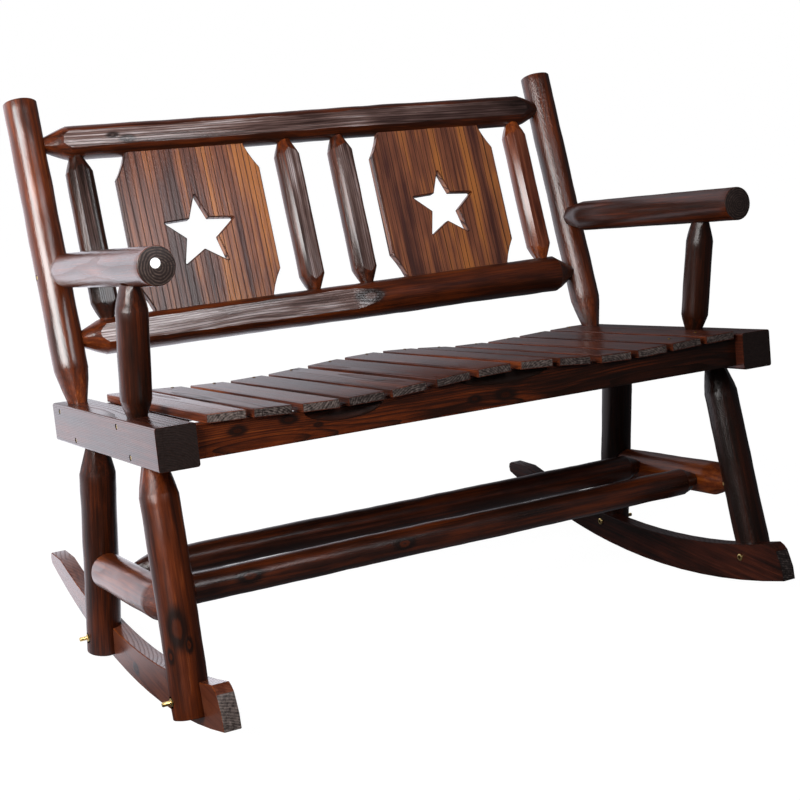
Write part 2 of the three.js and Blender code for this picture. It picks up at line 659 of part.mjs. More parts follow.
for (const { side, sign } of SIDES) {
  const x = sign * sideX;

  // Post
  const postFoot = { neck: POST_NECK, taper: POST_TAPER, tenon: POST_TENON };
  const post = log({ length: POST_LENGTH, radius: POST_RADIUS, start: postFoot }, onBack(x, 0), postUp);

  // Arm support, leaning forwards
  const supportPlace = new THREE.Vector3(x, SUPPORT_FROM_FRONT - railHalf, SIDE_RAIL_HEIGHT);
  const supportUp = new THREE.Vector3(0, -Math.sin(SUPPORT_LEAN), Math.cos(SUPPORT_LEAN));
  const supportLength = (ARM_HEIGHT - ARM_RADIUS - SIDE_RAIL_HEIGHT) / Math.cos(SUPPORT_LEAN);
  const support = log(
    {
      length: supportLength,
      radius: SUPPORT_RADIUS,
      start: { neck: SUPPORT_NECK, taper: SUPPORT_FOOT_TAPER, tenon: SUPPORT_TENON },
      finish: { neck: SUPPORT_NECK, taper: SUPPORT_TOP_TAPER, tenon: SUPPORT_TENON },
    },
    supportPlace,
    supportUp,
  );

  // Arm, coped to the front of the post
  const armUpPost = (ARM_HEIGHT - SIDE_RAIL_HEIGHT) / Math.cos(POST_LEAN);
  const postAxisY = onBack(x, armUpPost).y;
  const postFrontY = postAxisY - POST_RADIUS / Math.cos(POST_LEAN);
  const armFront = ARM_SETBACK - railHalf;
  const armPlace = new THREE.Vector3(sign * (sideX - ARM_INSET), armFront, ARM_HEIGHT);
  const arm = coped(
    {
      length: postFrontY - armFront,
      radius: ARM_RADIUS,
      finish: { neck: ARM_NECK, taper: ARM_TAPER, tenon: half(POST_RADIUS) },
    },
    armPlace,
    BACK,
    [post.hole],
    half(postFrontY - armFront),
    postFrontY - armFront + ARM_TENON,
    ARM_TENON_RADIUS,
  );
  const armScrewZ = ARM_HEIGHT - ARM_SCREW_DROP;
  const armScrewY = onBack(x, (armScrewZ - SIDE_RAIL_HEIGHT) / Math.cos(POST_LEAN)).y;
  const armScrew = screw(sign, sideX + POST_RADIUS, armScrewY, armScrewZ);

  // Legs, splayed outwards and raked apart
  const legs = {};
  for (const [end, way, topY, rake, drop, boltDrop] of [
    ["front", -1, FRONT_LEG_FROM_FRONT - railHalf, FRONT_LEG_RAKE, FRONT_LEG_DROP, FRONT_BOLT_DROP],
    ["rear", 1, railHalf - REAR_LEG_FROM_REAR, REAR_LEG_RAKE, REAR_LEG_DROP, REAR_BOLT_DROP],
  ]) {
    const place = new THREE.Vector3(x, topY, 0);
    const down = new THREE.Vector3(sign * Math.tan(LEG_SPLAY), way * Math.tan(rake), -1);
    const at = (z) => place.clone().addScaledVector(down, -z);
    const top = { neck: LEG_NECK, taper: LEG_TAPER, tenon: LEG_TENON };
    const spec = { length: drop * down.length(), radius: LEG_RADIUS, start: top };
    legs[end] = { ...log(spec, place, down), at, boltDrop };
  }

  // Rocker, let into the inner sides of the legs' feet
  const rockerPlace = new THREE.Vector3(sign * rockerX, 0, 0);
  const rockerBody = board(rockerShape, ROCKER_THICKNESS, sidewaysFrame(rockerPlace));
  const lapPlace = rockerPlace.clone().setX(sign * (rockerX - LEG_RADIUS));
  const lapWidth = ROCKER_THICKNESS + FIT_GAP + FIT_GAP + LEG_RADIUS + LEG_RADIUS;
  const lapRoom = board(rockerShape, lapWidth, sidewaysFrame(lapPlace));
  const lapAbove = lapRoom.translate([0, 0, FIT_GAP]);
  const lapBelow = lapRoom.translate([0, 0, -ROCKER_DEPTH]);

  // Side stretcher, coped to both legs
  const frontAt = legs.front.at(-STRETCHER_DROP);
  const rearAt = legs.rear.at(-STRETCHER_DROP);
  const clearFront = LEG_RADIUS / Math.cos(FRONT_LEG_RAKE);
  const clearRear = LEG_RADIUS / Math.cos(REAR_LEG_RAKE);
  const stretcherStart = frontAt.clone().add(new THREE.Vector3(0, clearFront, 0));
  const stretcherLength = rearAt.y - clearRear - stretcherStart.y;
  const tuck = half(LEG_RADIUS);
  const sideStretcher = coped(
    {
      length: stretcherLength,
      radius: SIDE_STRETCHER_RADIUS,
      start: { neck: SIDE_STRETCHER_FRONT_NECK, taper: SIDE_STRETCHER_FRONT_TAPER, tenon: tuck },
      finish: { neck: SIDE_STRETCHER_REAR_NECK, taper: SIDE_STRETCHER_REAR_TAPER, tenon: tuck },
    },
    stretcherStart,
    BACK,
    [legs.front.hole, legs.rear.hole],
    -SIDE_STRETCHER_TENON,
    stretcherLength + SIDE_STRETCHER_TENON,
    SIDE_STRETCHER_TENON_RADIUS,
  );

  // Screws through the side rail into the four tenons
  const postPinY = onBack(x, HIGH_SCREW_HEIGHT - SIDE_RAIL_HEIGHT).y + SCREW_BEHIND;
  const supportPin = (SIDE_RAIL_HEIGHT - HIGH_SCREW_HEIGHT) * Math.tan(SUPPORT_LEAN);
  const supportPinY = supportPlace.y + supportPin + SCREW_BEHIND;
  const pins = {
    rear_high: screw(sign, seatHalf, postPinY, HIGH_SCREW_HEIGHT),
    front_high: screw(sign, seatHalf, supportPinY, HIGH_SCREW_HEIGHT),
    rear_low: screw(sign, seatHalf, legs.rear.at(LOW_SCREW_HEIGHT).y + SCREW_BEHIND, LOW_SCREW_HEIGHT),
    front_low: screw(sign, seatHalf, legs.front.at(LOW_SCREW_HEIGHT).y + SCREW_BEHIND, LOW_SCREW_HEIGHT),
  };
  const pinHoles = Object.values(pins).map(({ hole }) => hole);

  // Side rail
  const round = SIDE_RAIL_ROUNDING;
  const flank = half(SIDE_RAIL_THICKNESS) - round;
  const railShape = new THREE.Shape();
  railShape.absarc(flank, round, round, -half(Math.PI), 0);
  railShape.absarc(flank, SIDE_RAIL_HEIGHT - round, round, 0, half(Math.PI));
  railShape.absarc(-flank, SIDE_RAIL_HEIGHT - round, round, half(Math.PI), Math.PI);
  railShape.absarc(-flank, round, round, Math.PI, Math.PI + half(Math.PI));
  const railBody = board(railShape, SIDE_RAIL_LENGTH, acrossFrame(new THREE.Vector3(x, 0, 0)));
  const railHoles = [post.hole, support.hole, legs.front.hole, legs.rear.hole, ...pinHoles];
  keep("side_rail_" + side, cut(railBody, ...railHoles), RAIL_FINISH);

  // Bolts through rocker and leg, with a nut in a bore outside
  const rockerHoles = [];
  for (const end of ["front", "rear"]) {
    const leg = legs[end];
    const { x: legX, y, z } = leg.at(-leg.boltDrop);
    const outside = Math.abs(legX) + LEG_RADIUS / Math.cos(LEG_SPLAY);
    const made = bolt(sign, y, z, rockerX - half(ROCKER_THICKNESS) - FIT_GAP, outside + BOLT_STUB);
    const seat = outside - NUT_RECESS;
    const place = new THREE.Vector3(0, y, z);
    const outwards = RIGHT.clone().multiplyScalar(sign);
    const nutBore = turned(rod(NUT_BORE_RADIUS, seat, outside + BOLT_STUB), place, outwards, SMALL_SIDES);
    const nutBlank = turned(
      rod(NUT_RADIUS, seat + FIT_GAP, seat + FIT_GAP + NUT_HEIGHT),
      place,
      outwards,
      HEX_SIDES,
    );
    rockerHoles.push(made.hole);
    const lapped = cut(leg.body, lapAbove, lapBelow, made.hole, nutBore, sideStretcher.hole, ...pinHoles);
    keep(end + "_leg_" + side, lapped, LOG_FINISH);
    keep(end + "_bolt_" + side, made.body, BRASS_FINISH);
    keep(end + "_nut_" + side, cut(nutBlank, made.hole), BRASS_FINISH);
  }
  keep("rocker_" + side, cut(rockerBody, ...rockerHoles), LOG_FINISH);

  const stretcherBody = cut(sideStretcher.body, frontStretcher.hole, rearStretcher.hole);
  keep("side_stretcher_" + side, stretcherBody, LOG_FINISH);

  const postHoles = [topRail.hole, lowerRail.hole, arm.hole, armScrew.hole, ...pinHoles];
  keep("back_post_" + side, cut(post.body, ...postHoles), LOG_FINISH);
  keep("arm_" + side, cut(arm.body, support.hole, armScrew.hole), LOG_FINISH);
  keep("arm_support_" + side, cut(support.body, ...pinHoles), LOG_FINISH);
  keep("arm_screw_" + side, armScrew.body, BRASS_FINISH);
  for (const [where, pin] of Object.entries(pins)) {
    keep("rail_screw_" + side + "_" + where, pin.body, BRASS_FINISH);
  }
}

// Lay the bench back to rest, then stand it on the ground over the middle of its own outline
const bench = new THREE.Group();
bench.name = "rocking_bench";
for (const { name, solid, finish } of pieces) {
  const mesh = new THREE.Mesh(toGeometry(solid), new THREE.MeshStandardMaterial(finish));
  mesh.name = name;
  bench.add(mesh);
}
bench.rotation.x = -REST_TILT;
bench.updateMatrixWorld(true);
const bounds = new THREE.Box3().setFromObject(bench, true);
const middle = bounds.getCenter(new THREE.Vector3());
bench.position.set(-middle.x, -middle.y, -bounds.min.z);

export default bench;
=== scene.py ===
"""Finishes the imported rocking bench: round logs, worn boards, star panels and brass, in a plain studio."""

import math
from contextlib import contextmanager

import bmesh
import bpy
import numpy as np
from bpy.props import FloatProperty, FloatVectorProperty, PointerProperty
from mathutils import Matrix, Vector


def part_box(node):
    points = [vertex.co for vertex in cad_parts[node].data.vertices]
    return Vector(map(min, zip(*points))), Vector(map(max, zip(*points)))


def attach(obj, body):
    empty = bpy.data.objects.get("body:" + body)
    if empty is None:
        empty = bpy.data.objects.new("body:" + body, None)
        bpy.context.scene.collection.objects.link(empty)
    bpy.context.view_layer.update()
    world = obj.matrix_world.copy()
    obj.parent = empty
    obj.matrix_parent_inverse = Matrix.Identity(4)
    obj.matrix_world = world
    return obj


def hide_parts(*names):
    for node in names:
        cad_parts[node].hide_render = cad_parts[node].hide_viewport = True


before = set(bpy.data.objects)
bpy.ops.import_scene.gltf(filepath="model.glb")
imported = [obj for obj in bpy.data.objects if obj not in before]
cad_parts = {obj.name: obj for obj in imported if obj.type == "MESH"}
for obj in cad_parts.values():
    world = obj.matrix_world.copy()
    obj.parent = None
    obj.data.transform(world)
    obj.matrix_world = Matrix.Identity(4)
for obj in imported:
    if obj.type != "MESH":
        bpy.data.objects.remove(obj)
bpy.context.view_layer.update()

bl_info = {
    "name": "Log Rocking Bench",
    "version": (1, 0, 0),
    "blender": (4, 5, 0),
    "location": "View3D > Sidebar > Bench",
    "description": "Models and finishes a two-seat rocking bench of round logs and boards",
    "category": "Object",
}

MM = 0.001
DEGREE = math.pi / 180

# Attitude of the bench and of its back, as in the frame
REST_TILT = 8.2 * DEGREE
POST_LEAN = 14 * DEGREE
SUPPORT_LEAN = 11.9 * DEGREE
LEG_SPLAY = 1.5 * DEGREE
FRONT_LEG_RAKE = 10.6 * DEGREE
REAR_LEG_RAKE = 11.1 * DEGREE

# Fineness of the modelled surfaces
LOG_SIDES = 56
BORE_SIDES = 24
BORE_REACH = 30 * MM
RING_STEP = 16 * MM  # distance between rings of a log's faces
HAIR = 0.05 * MM  # two places nearer than this are one
COPLANAR = 0.5 * DEGREE  # two faces that differ by less are one
SUNK = 5 * MM  # how far a whittled end goes into its neighbour
CUT_OVER = 20 * MM  # how far a cutter stands out of the wood
TRUNK_STEP = 1.1  # each piece of wood is cut from its own stretch of one imagined trunk
SHARP = 30 * DEGREE
BEVEL_ANGLE = 47 * DEGREE  # of a spindle's narrow left flat from its face
BEVEL_SHARE = 0.94  # of a spindle's radius, from its middle to that flat
CUT_EDGE = 2 * MM
FACETS = 9  # flats round a whittled cone
FACET_SHARE = 0.9  # of the neck's radius, left by the flats
FACET_STRAY = 0.22  # how far a flat strays from its even place, in steps from one flat to the next
FACET_SWAY = 2.3  # how quickly that changes from flat to flat
FACET_OUT = 1.004  # of the log's radius, from its middle to the shallowest flats
FACET_DEEPER = 0.01  # how much nearer to it the next two are, each
GOLDEN_ANGLE = 2.4  # turns each piece's facets away from its neighbour's
# Rings of a whittled cone: parts of the way along it, and of the narrowing reached there
CONE_SHARES = [(0.03, 0.05), (0.3, 0.26), (0.65, 0.6), (0.94, 0.93), (1, 1)]


def length(name, value, description):
    """A size that a user can change, given in millimetres and kept in metres."""
    return FloatProperty(
        name=name, description=description, default=value * MM, min=0, unit="LENGTH", subtype="DISTANCE"
    )


def linear(colour):
    """The scene-linear values of an sRGB hex colour."""
    parts = [int(colour[i : i + 2], 16) / 255 for i in (1, 3, 5)]
    return [v / 12.92 if v <= 0.04045 else ((v + 0.055) / 1.055) ** 2.4 for v in parts]


def tint(name, colour, description):
    """A colour that a user can change."""
    return FloatVectorProperty(name=name, description=description, default=linear(colour), subtype="COLOR")


class BenchLogs(bpy.types.PropertyGroup):
    """Sizes of the round pieces"""

    post_radius: length("Post radius", 29.5, "Radius of the leaning back posts")
    post_length: length("Post length", 538.6, "Length of a post above the side rail")
    post_neck: length("Post neck", 18, "Radius of a post's whittled foot")
    post_taper: length("Post taper", 57, "Length of a post's whittled foot")
    post_from_rear: length("Post from rear", 48, "Foot of a post ahead of the side rail's rear end")
    rail_forward: length("Back rail forward", 4, "Back rails ahead of the posts' plane")
    rail_neck: length("Back rail neck", 16.5, "Radius of a back rail's whittled ends")
    rail_taper: length("Back rail taper", 38, "Length of a back rail's whittled ends")
    top_rail_height: length("Top rail height", 463, "Top rail above the side rails, along the posts")
    top_rail_rise: length("Top rail rise", 9, "Right end of the top rail over its left end")
    top_rail_radius: length("Top rail radius", 30.5, "Radius of the top rail")
    top_rail_planed: length("Top rail planed", 26, "From the top rail's middle to its planed face")
    lower_rail_height: length("Lower rail height", 113, "Lower rail above the side rails, along the posts")
    lower_rail_rise: length("Lower rail rise", 10, "Right end of the lower rail over its left end")
    lower_rail_radius: length("Lower rail radius", 33.5, "Radius of the lower rail at its middle")
    lower_rail_swell: length("Lower rail swell", 3.6, "Right end's radius over the left end's")
    lower_rail_planed: length("Lower rail planed", 27, "From the lower rail's middle to its planed face")
    lower_rail_flat_end: length("Lower rail flat end", 10, "End of its planed face right of the middle")
    lower_rail_flat_fade: length("Lower rail flat fade", 80, "Length over which its planed face rises out")
    infill_forward: length("Infill forward", 4.5, "Spindles and panels ahead of the back rails")
    spindle_radius: length("Spindle radius", 24.5, "Radius of the spindles")
    spindle_planed: length("Spindle planed", 20.5, "From a spindle's middle to its planed face")
    spindle_neck: length("Spindle neck", 14, "Radius of a spindle's whittled ends")
    spindle_taper: length("Spindle taper", 26, "Length of a spindle's whittled ends")
    arm_radius: length("Arm radius", 29.3, "Radius of the arms")
    arm_height: length("Arm height", 292, "Middle of an arm above the side rails' undersides")
    arm_setback: length("Arm setback", 17, "Front end of an arm behind the side rail's")
    arm_inset: length("Arm inset", 6.5, "Middle of an arm inside that of its support")
    arm_neck: length("Arm neck", 21, "Radius of an arm's end at the post")
    arm_taper: length("Arm taper", 46, "Length of an arm's rounded end at the post")
    support_radius: length("Support radius", 24.6, "Radius of the arm supports")
    support_from_front: length("Support from front", 168, "Foot of a support behind the rail's front end")
    support_neck: length("Support neck", 17, "Radius of a support's whittled ends")
    support_foot_taper: length("Support foot taper", 28, "Length of a support's whittled foot")
    support_top_taper: length("Support top taper", 34, "Length of a support's whittled top")
    leg_radius: length("Leg radius", 30, "Radius of the legs")
    leg_neck: length("Leg neck", 19, "Radius of a leg's whittled top")
    leg_taper: length("Leg taper", 50, "Length of a leg's whittled top")
    front_leg_from_front: length("Front leg from front", 116, "Top of a front leg behind the rail's front")
    rear_leg_from_rear: length("Rear leg from rear", 130, "Top of a rear leg ahead of the rail's rear end")
    front_leg_drop: length("Front leg drop", 377, "A front leg's cut end below the side rails")
    rear_leg_drop: length("Rear leg drop", 370, "A rear leg's cut end below the side rails")
    stretcher_drop: length("Stretcher drop", 218, "Stretchers' middles below the side rails' undersides")
    side_stretcher_radius: length("Side stretcher radius", 31, "Radius of the side stretchers")
    side_stretcher_front_neck: length("Side stretcher front neck", 20, "Its radius at the front leg")
    side_stretcher_rear_neck: length("Side stretcher rear neck", 25, "Its radius at the rear leg")
    side_stretcher_front_taper: length("Side stretcher front taper", 34, "Length of its whittled front end")
    side_stretcher_rear_taper: length("Side stretcher rear taper", 14, "Length of its whittled rear end")
    long_stretcher_radius: length("Long stretcher radius", 24.6, "Radius of the long stretchers")
    long_stretcher_neck: length("Long stretcher neck", 14, "Radius of a long stretcher's whittled ends")
    long_stretcher_taper: length("Long stretcher taper", 28, "Length of a long stretcher's whittled ends")
    front_stretcher_ahead: length("Front stretcher ahead", 98, "Ahead of the middle of the side rails")
    rear_stretcher_behind: length("Rear stretcher behind", 75, "Behind the middle of the side rails")
    rear_stretcher_raise: length("Rear stretcher raise", 8, "Rear long stretcher over the front one")


class BenchBoards(bpy.types.PropertyGroup):
    """Sizes of the flat pieces and the fasteners"""

    seat_width: length("Seat width", 1150, "Width over both side rails")
    rail_length: length("Side rail length", 540, "Length of the side rails")
    rail_height: length("Side rail height", 65, "Height of the side rails")
    rail_thickness: length("Side rail thickness", 63, "Thickness of the side rails")
    rail_rounding: length("Side rail rounding", 4, "Radius of the side rails' long edges")
    slat_width: length("Slat width", 63, "Width of the seat slats")
    slat_thickness: length("Slat thickness", 14, "Thickness of the seat slats")
    slat_length: length("Slat length", 480, "Length of the seat slats")
    slat_setback: length("Slat setback", 10, "Slats' front ends behind the side rails'")
    worn_edge: length("Worn edge", 1.4, "Width of the worn edges of the boards")
    screw_bore: length("Screw bore", 4.8, "Radius of the bores over the screws")
    nut_bore: length("Nut bore", 9.5, "Radius of the bores round the nuts")


class BenchFinishes(bpy.types.PropertyGroup):
    """Colours of the wood and the brass"""

    char: tint("Char", "#140804", "Darkest streaks of the charred and oiled wood")
    char_blue: tint("Blue char", "#2a1a16", "Darkest strips of the star panels")
    log_dark: tint("Dark log", "#2c1005", "Darker shade of the round logs")
    log: tint("Log", "#532107", "Middling shade of the round logs")
    log_warm: tint("Warm log", "#7c3c14", "Lightest shade of the round logs")
    flat_dark: tint("Dark flat", "#3a2925", "Darker shade of the planed flats")
    flat: tint("Flat", "#604c47", "Middling shade of the planed flats")
    # Silver is partly the planed wood's own grey and partly a painted sheen
    silver: tint("Silver", "#a09594", "Lightest shade of the planed flats")
    board_dark: tint("Dark board", "#34150c", "Darker shade of the boards")
    board: tint("Board", "#4f2415", "Middling shade of the boards")
    board_pale: tint("Pale board", "#6c3a26", "Lightest shade of the boards")
    panel_dark: tint("Dark panel", "#3a1f19", "Darker shade of the star panels")
    panel: tint("Panel", "#663b28", "Middling shade of the star panels")
    flame: tint("Flame", "#8c5529", "Lightest strips of the star panels")
    edge: tint("Edge", "#582611", "Sawn sides of the boards")
    end_dark: tint("Dark end", "#1a110e", "Late rings of the sawn ends")
    end_pale: tint("Pale end", "#57463f", "Early wood of the sawn ends")
    end_silver: tint("Silver end", "#84766f", "Early wood of the slats' and rockers' greyed ends")
    # Dark brass: painted shade in the crosses and sockets, and the colour of the small slat screws
    tarnish: tint("Tarnish", "#6b4f28", "Sockets and small old screws")
    brass: tint("Brass", "#f3d68f", "Colour of the screws, bolts and nuts")


class BenchStage(bpy.types.PropertyGroup):
    """The studio round the bench"""

    floor_size: length("Floor size", 40000, "Side of the square floor")
    key_power: FloatProperty(name="Key light", description="Power of the left lamp", default=27, min=0)
    front_power: FloatProperty(name="Front light", description="Power of the front lamp", default=2.8, min=0)
    room: FloatProperty(name="Room light", description="Light on matt surfaces", default=0.24, min=0)


# Places: the level seat's frame has Y from the middle of the side rails and Z from their undersides,
# as in the frame's own record, and the whole is turned back by the rest tilt


def logs():
    """The round pieces' sizes, as set in the scene."""
    return bpy.context.scene.bench_logs


def boards():
    """The flat pieces' and fasteners' sizes, as set in the scene."""
    return bpy.context.scene.bench_boards


def finishes():
    """The colours, as set in the scene."""
    return bpy.context.scene.bench_finishes


def side_x():
    """Middle of the right side rail across the bench."""
    return (boards().seat_width - boards().rail_thickness) / 2


def seat_frame():
    """The level seat's frame within the bench's, found from the left side rail."""
    turn = Matrix.Rotation(-REST_TILT, 4, "X")
    low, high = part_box("side_rail_left")
    middle = turn @ Vector((-side_x(), 0, boards().rail_height / 2))
    return Matrix.Translation((low + high) / 2 - middle) @ turn


POST_UP = Vector((0, math.sin(POST_LEAN), math.cos(POST_LEAN)))
POST_OUT = Vector((0, -math.cos(POST_LEAN), math.sin(POST_LEAN)))


def on_back(x, up, out=0):
    """A point in the plane of the leaning posts: across, up along them and out towards the sitter."""
    foot = boards().rail_length / 2 - logs().post_from_rear
    return Vector((x, foot, boards().rail_height)) + POST_UP * up + POST_OUT * out


def frame_along(place, along, facing):
    """A matrix whose Z runs along a piece from its start and whose Y is its face."""
    z = along.normalized()
    x = facing.cross(z).normalized()
    turn = Matrix((x, z.cross(x), z)).transposed()
    return Matrix.Translation(place) @ turn.to_4x4()


def knot_list(rows):
    """Knots as places in the trunk and radii, from the pieces' numbers and millimetres."""
    return [((x * MM, y * MM, n * TRUNK_STEP + z * MM), radius * MM) for n, x, y, z, radius in rows]


# Knots that the photo shows: the piece's number, the place across, towards its face and along it, the radius
HERO_KNOTS = knot_list(
    (
        (4, 0, 33, 551, 11),  # lower rail
        (3, 2, 29, 116, 5),  # top rail
        (3, -6, 29, 142, 6),
        (13, -14, 28, 249, 12),  # left front leg
        (13, -26, 17, 288, 5),
        (13, 1, 31, 275, 5),
        (19, 6, 24, 120, 9),  # front long stretcher
        (19, 4, 24, 400, 8),
    )
)
BEARER_NUMBER = 40
BEARER_PITH = (-35, 10)  # of the bearers' middle from that of their trunk, across and up, in millimetres
BEARER_HALF = 14  # half the bearers' thickness in millimetres
BEARER_FACE = BEARER_PITH[0] - BEARER_HALF
# Knots in the front bearer's face: height over its middle, place along it and radius
BEARER_KNOTS = knot_list(
    [
        (BEARER_NUMBER, BEARER_FACE, BEARER_PITH[1] + up, along, radius)
        for up, along, radius in ((5, 69, 6), (9, 153, 6), (-6, 200, 3), (-8, 478, 5), (-9, 537, 8))
    ]
)

# Hollows in the front bearer's upper edge where the board had bark: place along it, half the length and
# the depth below the edge, in millimetres
WANES = ((247, 68, 21), (538, 88, 19))
WANE_INWARDS = 8 * MM  # how far the hollows reach in from the bearer's face

# How light each piece is at its start and at its end, how pitted its skin is, and how well its oil shines
# Their lightness is partly the wood's own colour and partly painted light and shade: lighter on the left,
# darker right and low
PLAIN_LOOK = (0.0, 0.0, 0.1, 1.0)
LOOKS = {
    "back_post_left": (0.3, 0.5, 0.35, 1.4),
    "back_post_right": (0.0, 0.0, 1.5, 1.0),
    "top_back_rail": (-0.1, -0.7, 0.4, 1.0),
    "lower_back_rail": (0.5, -0.5, 0.6, 1.0),
    "back_spindle_1": (-1.0, -1.0, 0.8, 0.9),
    "back_spindle_2": (-0.2, -0.2, 0.2, 0.9),
    "back_spindle_3": (-0.2, -0.2, 0.5, 0.9),
    "back_spindle_4": (0.9, 0.9, 0.3, 1.1),
    "arm_left": (0.1, 0.1, 0.0, 1.5),
    "arm_right": (-0.6, -0.6, 0.1, 0.45),
    "arm_support_left": (-0.9, -0.5, 0.4, 0.8),
    "arm_support_right": (-1.3, -1.3, 0.4, 0.4),
    "front_leg_left": (0.5, 0.2, 0.2, 0.45),
    "rear_leg_left": (-0.6, -0.2, 0.1, 0.6),
    "front_leg_right": (-1.6, -1.0, 1.3, 0.6),
    "rear_leg_right": (-1.5, -1.5, 0.1, 0.3),
    "side_stretcher_left": (0.9, 0.9, 0.0, 1.3),
    "side_stretcher_right": (0.8, 0.8, 0.3, 0.5),
    "long_stretcher_front": (-0.5, -0.7, 0.5, 1.4),
    "long_stretcher_rear": (-0.6, -0.6, 0.3, 1.0),
    "side_rail_left": (-0.6, -0.4, 0.1, 1.5),
    "side_rail_right": (-0.6, -0.6, 0.1, 0.6),
    "front_bearer": (0.4, -1.7, 1.0, 0.8),
    "rear_bearer": (-0.5, -0.5, 0.2, 0.5),
    "star_panel_left": (1.5, -1.0, 0.4, 1.0),
    "star_panel_right": (0.8, 0.3, 0.4, 1.1),
    "rocker_left": (1.1, 1.1, 0.1, 1.9),
    "rocker_right": (-0.7, -0.7, 0.1, 0.6),
    "seat_slat_01": (0.8, 0.8, 0.1, 1.6),
    "seat_slat_03": (0.5, 0.5, 0.1, 1.1),
    "seat_slat_04": (-0.3, -0.3, 0.1, 1.0),
    "seat_slat_06": (0.0, -0.2, 0.1, 0.8),
    "seat_slat_08": (0.2, 0.4, 0.1, 0.8),
    "seat_slat_09": (-0.3, 0.1, 0.1, 0.8),
    "seat_slat_10": (-0.2, 0.2, 0.1, 0.8),
    "seat_slat_11": (0.2, 0.3, 0.1, 0.7),
    "seat_slat_12": (-0.3, 0.0, 0.1, 0.7),
    "seat_slat_13": (0.1, 0.1, 0.1, 0.6),
}


# Modelling helpers

SQUARE = 0.9  # a face whose normal has this share along an axis counts as square to it
ALIGNED = 0.999  # the same for a face that was cut just now


def only(piece):
    """Selects one piece alone and makes it the active one."""
    bpy.ops.object.select_all(action="DESELECT")
    piece.select_set(True)
    bpy.context.view_layer.objects.active = piece


@contextmanager
def editing(piece):
    """Edit mode for one piece alone, and object mode again after the block."""
    only(piece)
    bpy.ops.object.mode_set(mode="EDIT")
    yield
    bpy.ops.object.mode_set(mode="OBJECT")


def select(piece, kind, test):
    """In edit mode, selects the faces or edges that pass a test and nothing else."""
    bpy.ops.mesh.select_mode(type=kind)
    bpy.ops.mesh.select_all(action="DESELECT")
    shape = bmesh.from_edit_mesh(piece.data)
    for part in shape.faces if kind == "FACE" else shape.edges:
        if test(part):
            part.select_set(True)
    bmesh.update_edit_mesh(piece.data)


def runs(way, more):
    """A test for edges that run further than a length along an axis, 0 for X to 2 for Z."""
    return lambda edge: abs(edge.verts[0].co[way] - edge.verts[1].co[way]) > more


def cut_rings(piece, way, more, cuts):
    """In edit mode, cuts the long edges along an axis, so that the faces between them get rings."""
    select(piece, "EDGE", runs(way, more))
    bpy.ops.mesh.subdivide(number_cuts=cuts)


def give_faces(piece, index, test):
    """Gives the faces that pass a test one of the piece's materials."""
    for face in piece.data.polygons:
        if test(face):
            face.material_index = index


def started(*materials):
    """The piece that was added just now, with its materials."""
    piece = bpy.context.object
    for material in materials:
        piece.data.materials.append(material)
    return piece


def apply_modifier(piece, modifier):
    """Leaves what a modifier does in the piece's mesh."""
    only(piece)
    bpy.ops.object.modifier_apply(modifier=modifier.name)


def place_mesh(piece, matrix):
    """Moves a piece by its matrix and leaves the place in its mesh."""
    piece.matrix_world = matrix
    only(piece)
    bpy.ops.object.transform_apply(location=True, rotation=True, scale=True)


def block(size, middle, *materials):
    """A plain block, to work a board from or to cut with."""
    bpy.ops.object.select_all(action="DESELECT")
    bpy.ops.mesh.primitive_cube_add(size=1)
    piece = started(*materials)
    place_mesh(piece, Matrix.Translation(middle) @ Matrix.Diagonal((*size, 1)))
    return piece


def rod(sides, radius, depth, material, middle=(0, 0, 0), turn=(0, 0, 0)):
    """A plain round or six-sided bar, to work a nut from or to cut with."""
    bpy.ops.object.select_all(action="DESELECT")
    bpy.ops.mesh.primitive_cylinder_add(
        vertices=sides, radius=radius, depth=depth, location=middle, rotation=turn
    )
    return started(material)


def copied(first):
    """A copy of a piece, with its own mesh."""
    piece = first.copy()
    piece.data = first.data.copy()
    bpy.context.scene.collection.objects.link(piece)
    return piece


def roughen(piece, name, size, depth, amount, direction="NORMAL"):
    """Raises and lowers a surface by half an amount either way, in clouds of about a given size."""
    texture = bpy.data.textures.get(name)
    if not texture:
        texture = bpy.data.textures.new(name, "CLOUDS")
        texture.noise_scale = size
        texture.noise_depth = depth
    modifier = piece.modifiers.new("roughen", "DISPLACE")
    modifier.texture = texture
    modifier.strength = amount
    modifier.direction = direction
    apply_modifier(piece, modifier)


def carve(piece, cutter):
    """Cuts the room of another shape out of a piece. The cut faces take the cutter's material."""
    modifier = piece.modifiers.new("carve", "BOOLEAN")
    modifier.operation = "DIFFERENCE"
    modifier.solver = "EXACT"
    modifier.material_mode = "TRANSFER"
    modifier.object = cutter
    apply_modifier(piece, modifier)
    bpy.data.objects.remove(cutter)


def store_grain(piece, to_trunk, look, way=2):
    """Keeps each point's place in the trunk and its piece's look for its material. The look goes from
    its start to its end along one way of the trunk, 0 across or 2 along."""
    mesh = piece.data
    count = len(mesh.vertices)
    points = np.empty(count * 3, np.float32)
    mesh.vertices.foreach_get("co", points)
    turned = points.reshape(-1, 3) @ np.array(to_trunk.to_3x3()).T + np.array(to_trunk.translation)
    grain = mesh.attributes.new("grain", "FLOAT_VECTOR", "POINT")
    grain.data.foreach_set("vector", turned.astype(np.float32).ravel())
    along = turned[:, way]
    share = (along - along.min()) / (along.max() - along.min())
    start, end, relief, shine = look
    for name, value in (("tone", start + (end - start) * share), ("relief", relief), ("shine", shine)):
        attribute = mesh.attributes.new(name, "FLOAT", "POINT")
        attribute.data.foreach_set("value", np.full(count, value, np.float32))


def finish_piece(piece, name, node=None):
    """Smooths a finished piece, names it and lets it stand for its node."""
    only(piece)
    bpy.ops.object.shade_smooth_by_angle(angle=SHARP)
    piece.name = name
    piece.data.name = name
    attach(piece, "root")
    if node:
        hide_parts(node)


def in_trunk(number):
    """The place of a piece's start in the imagined trunk."""
    return Matrix.Translation((0, 0, number * TRUNK_STEP))


# Round logs

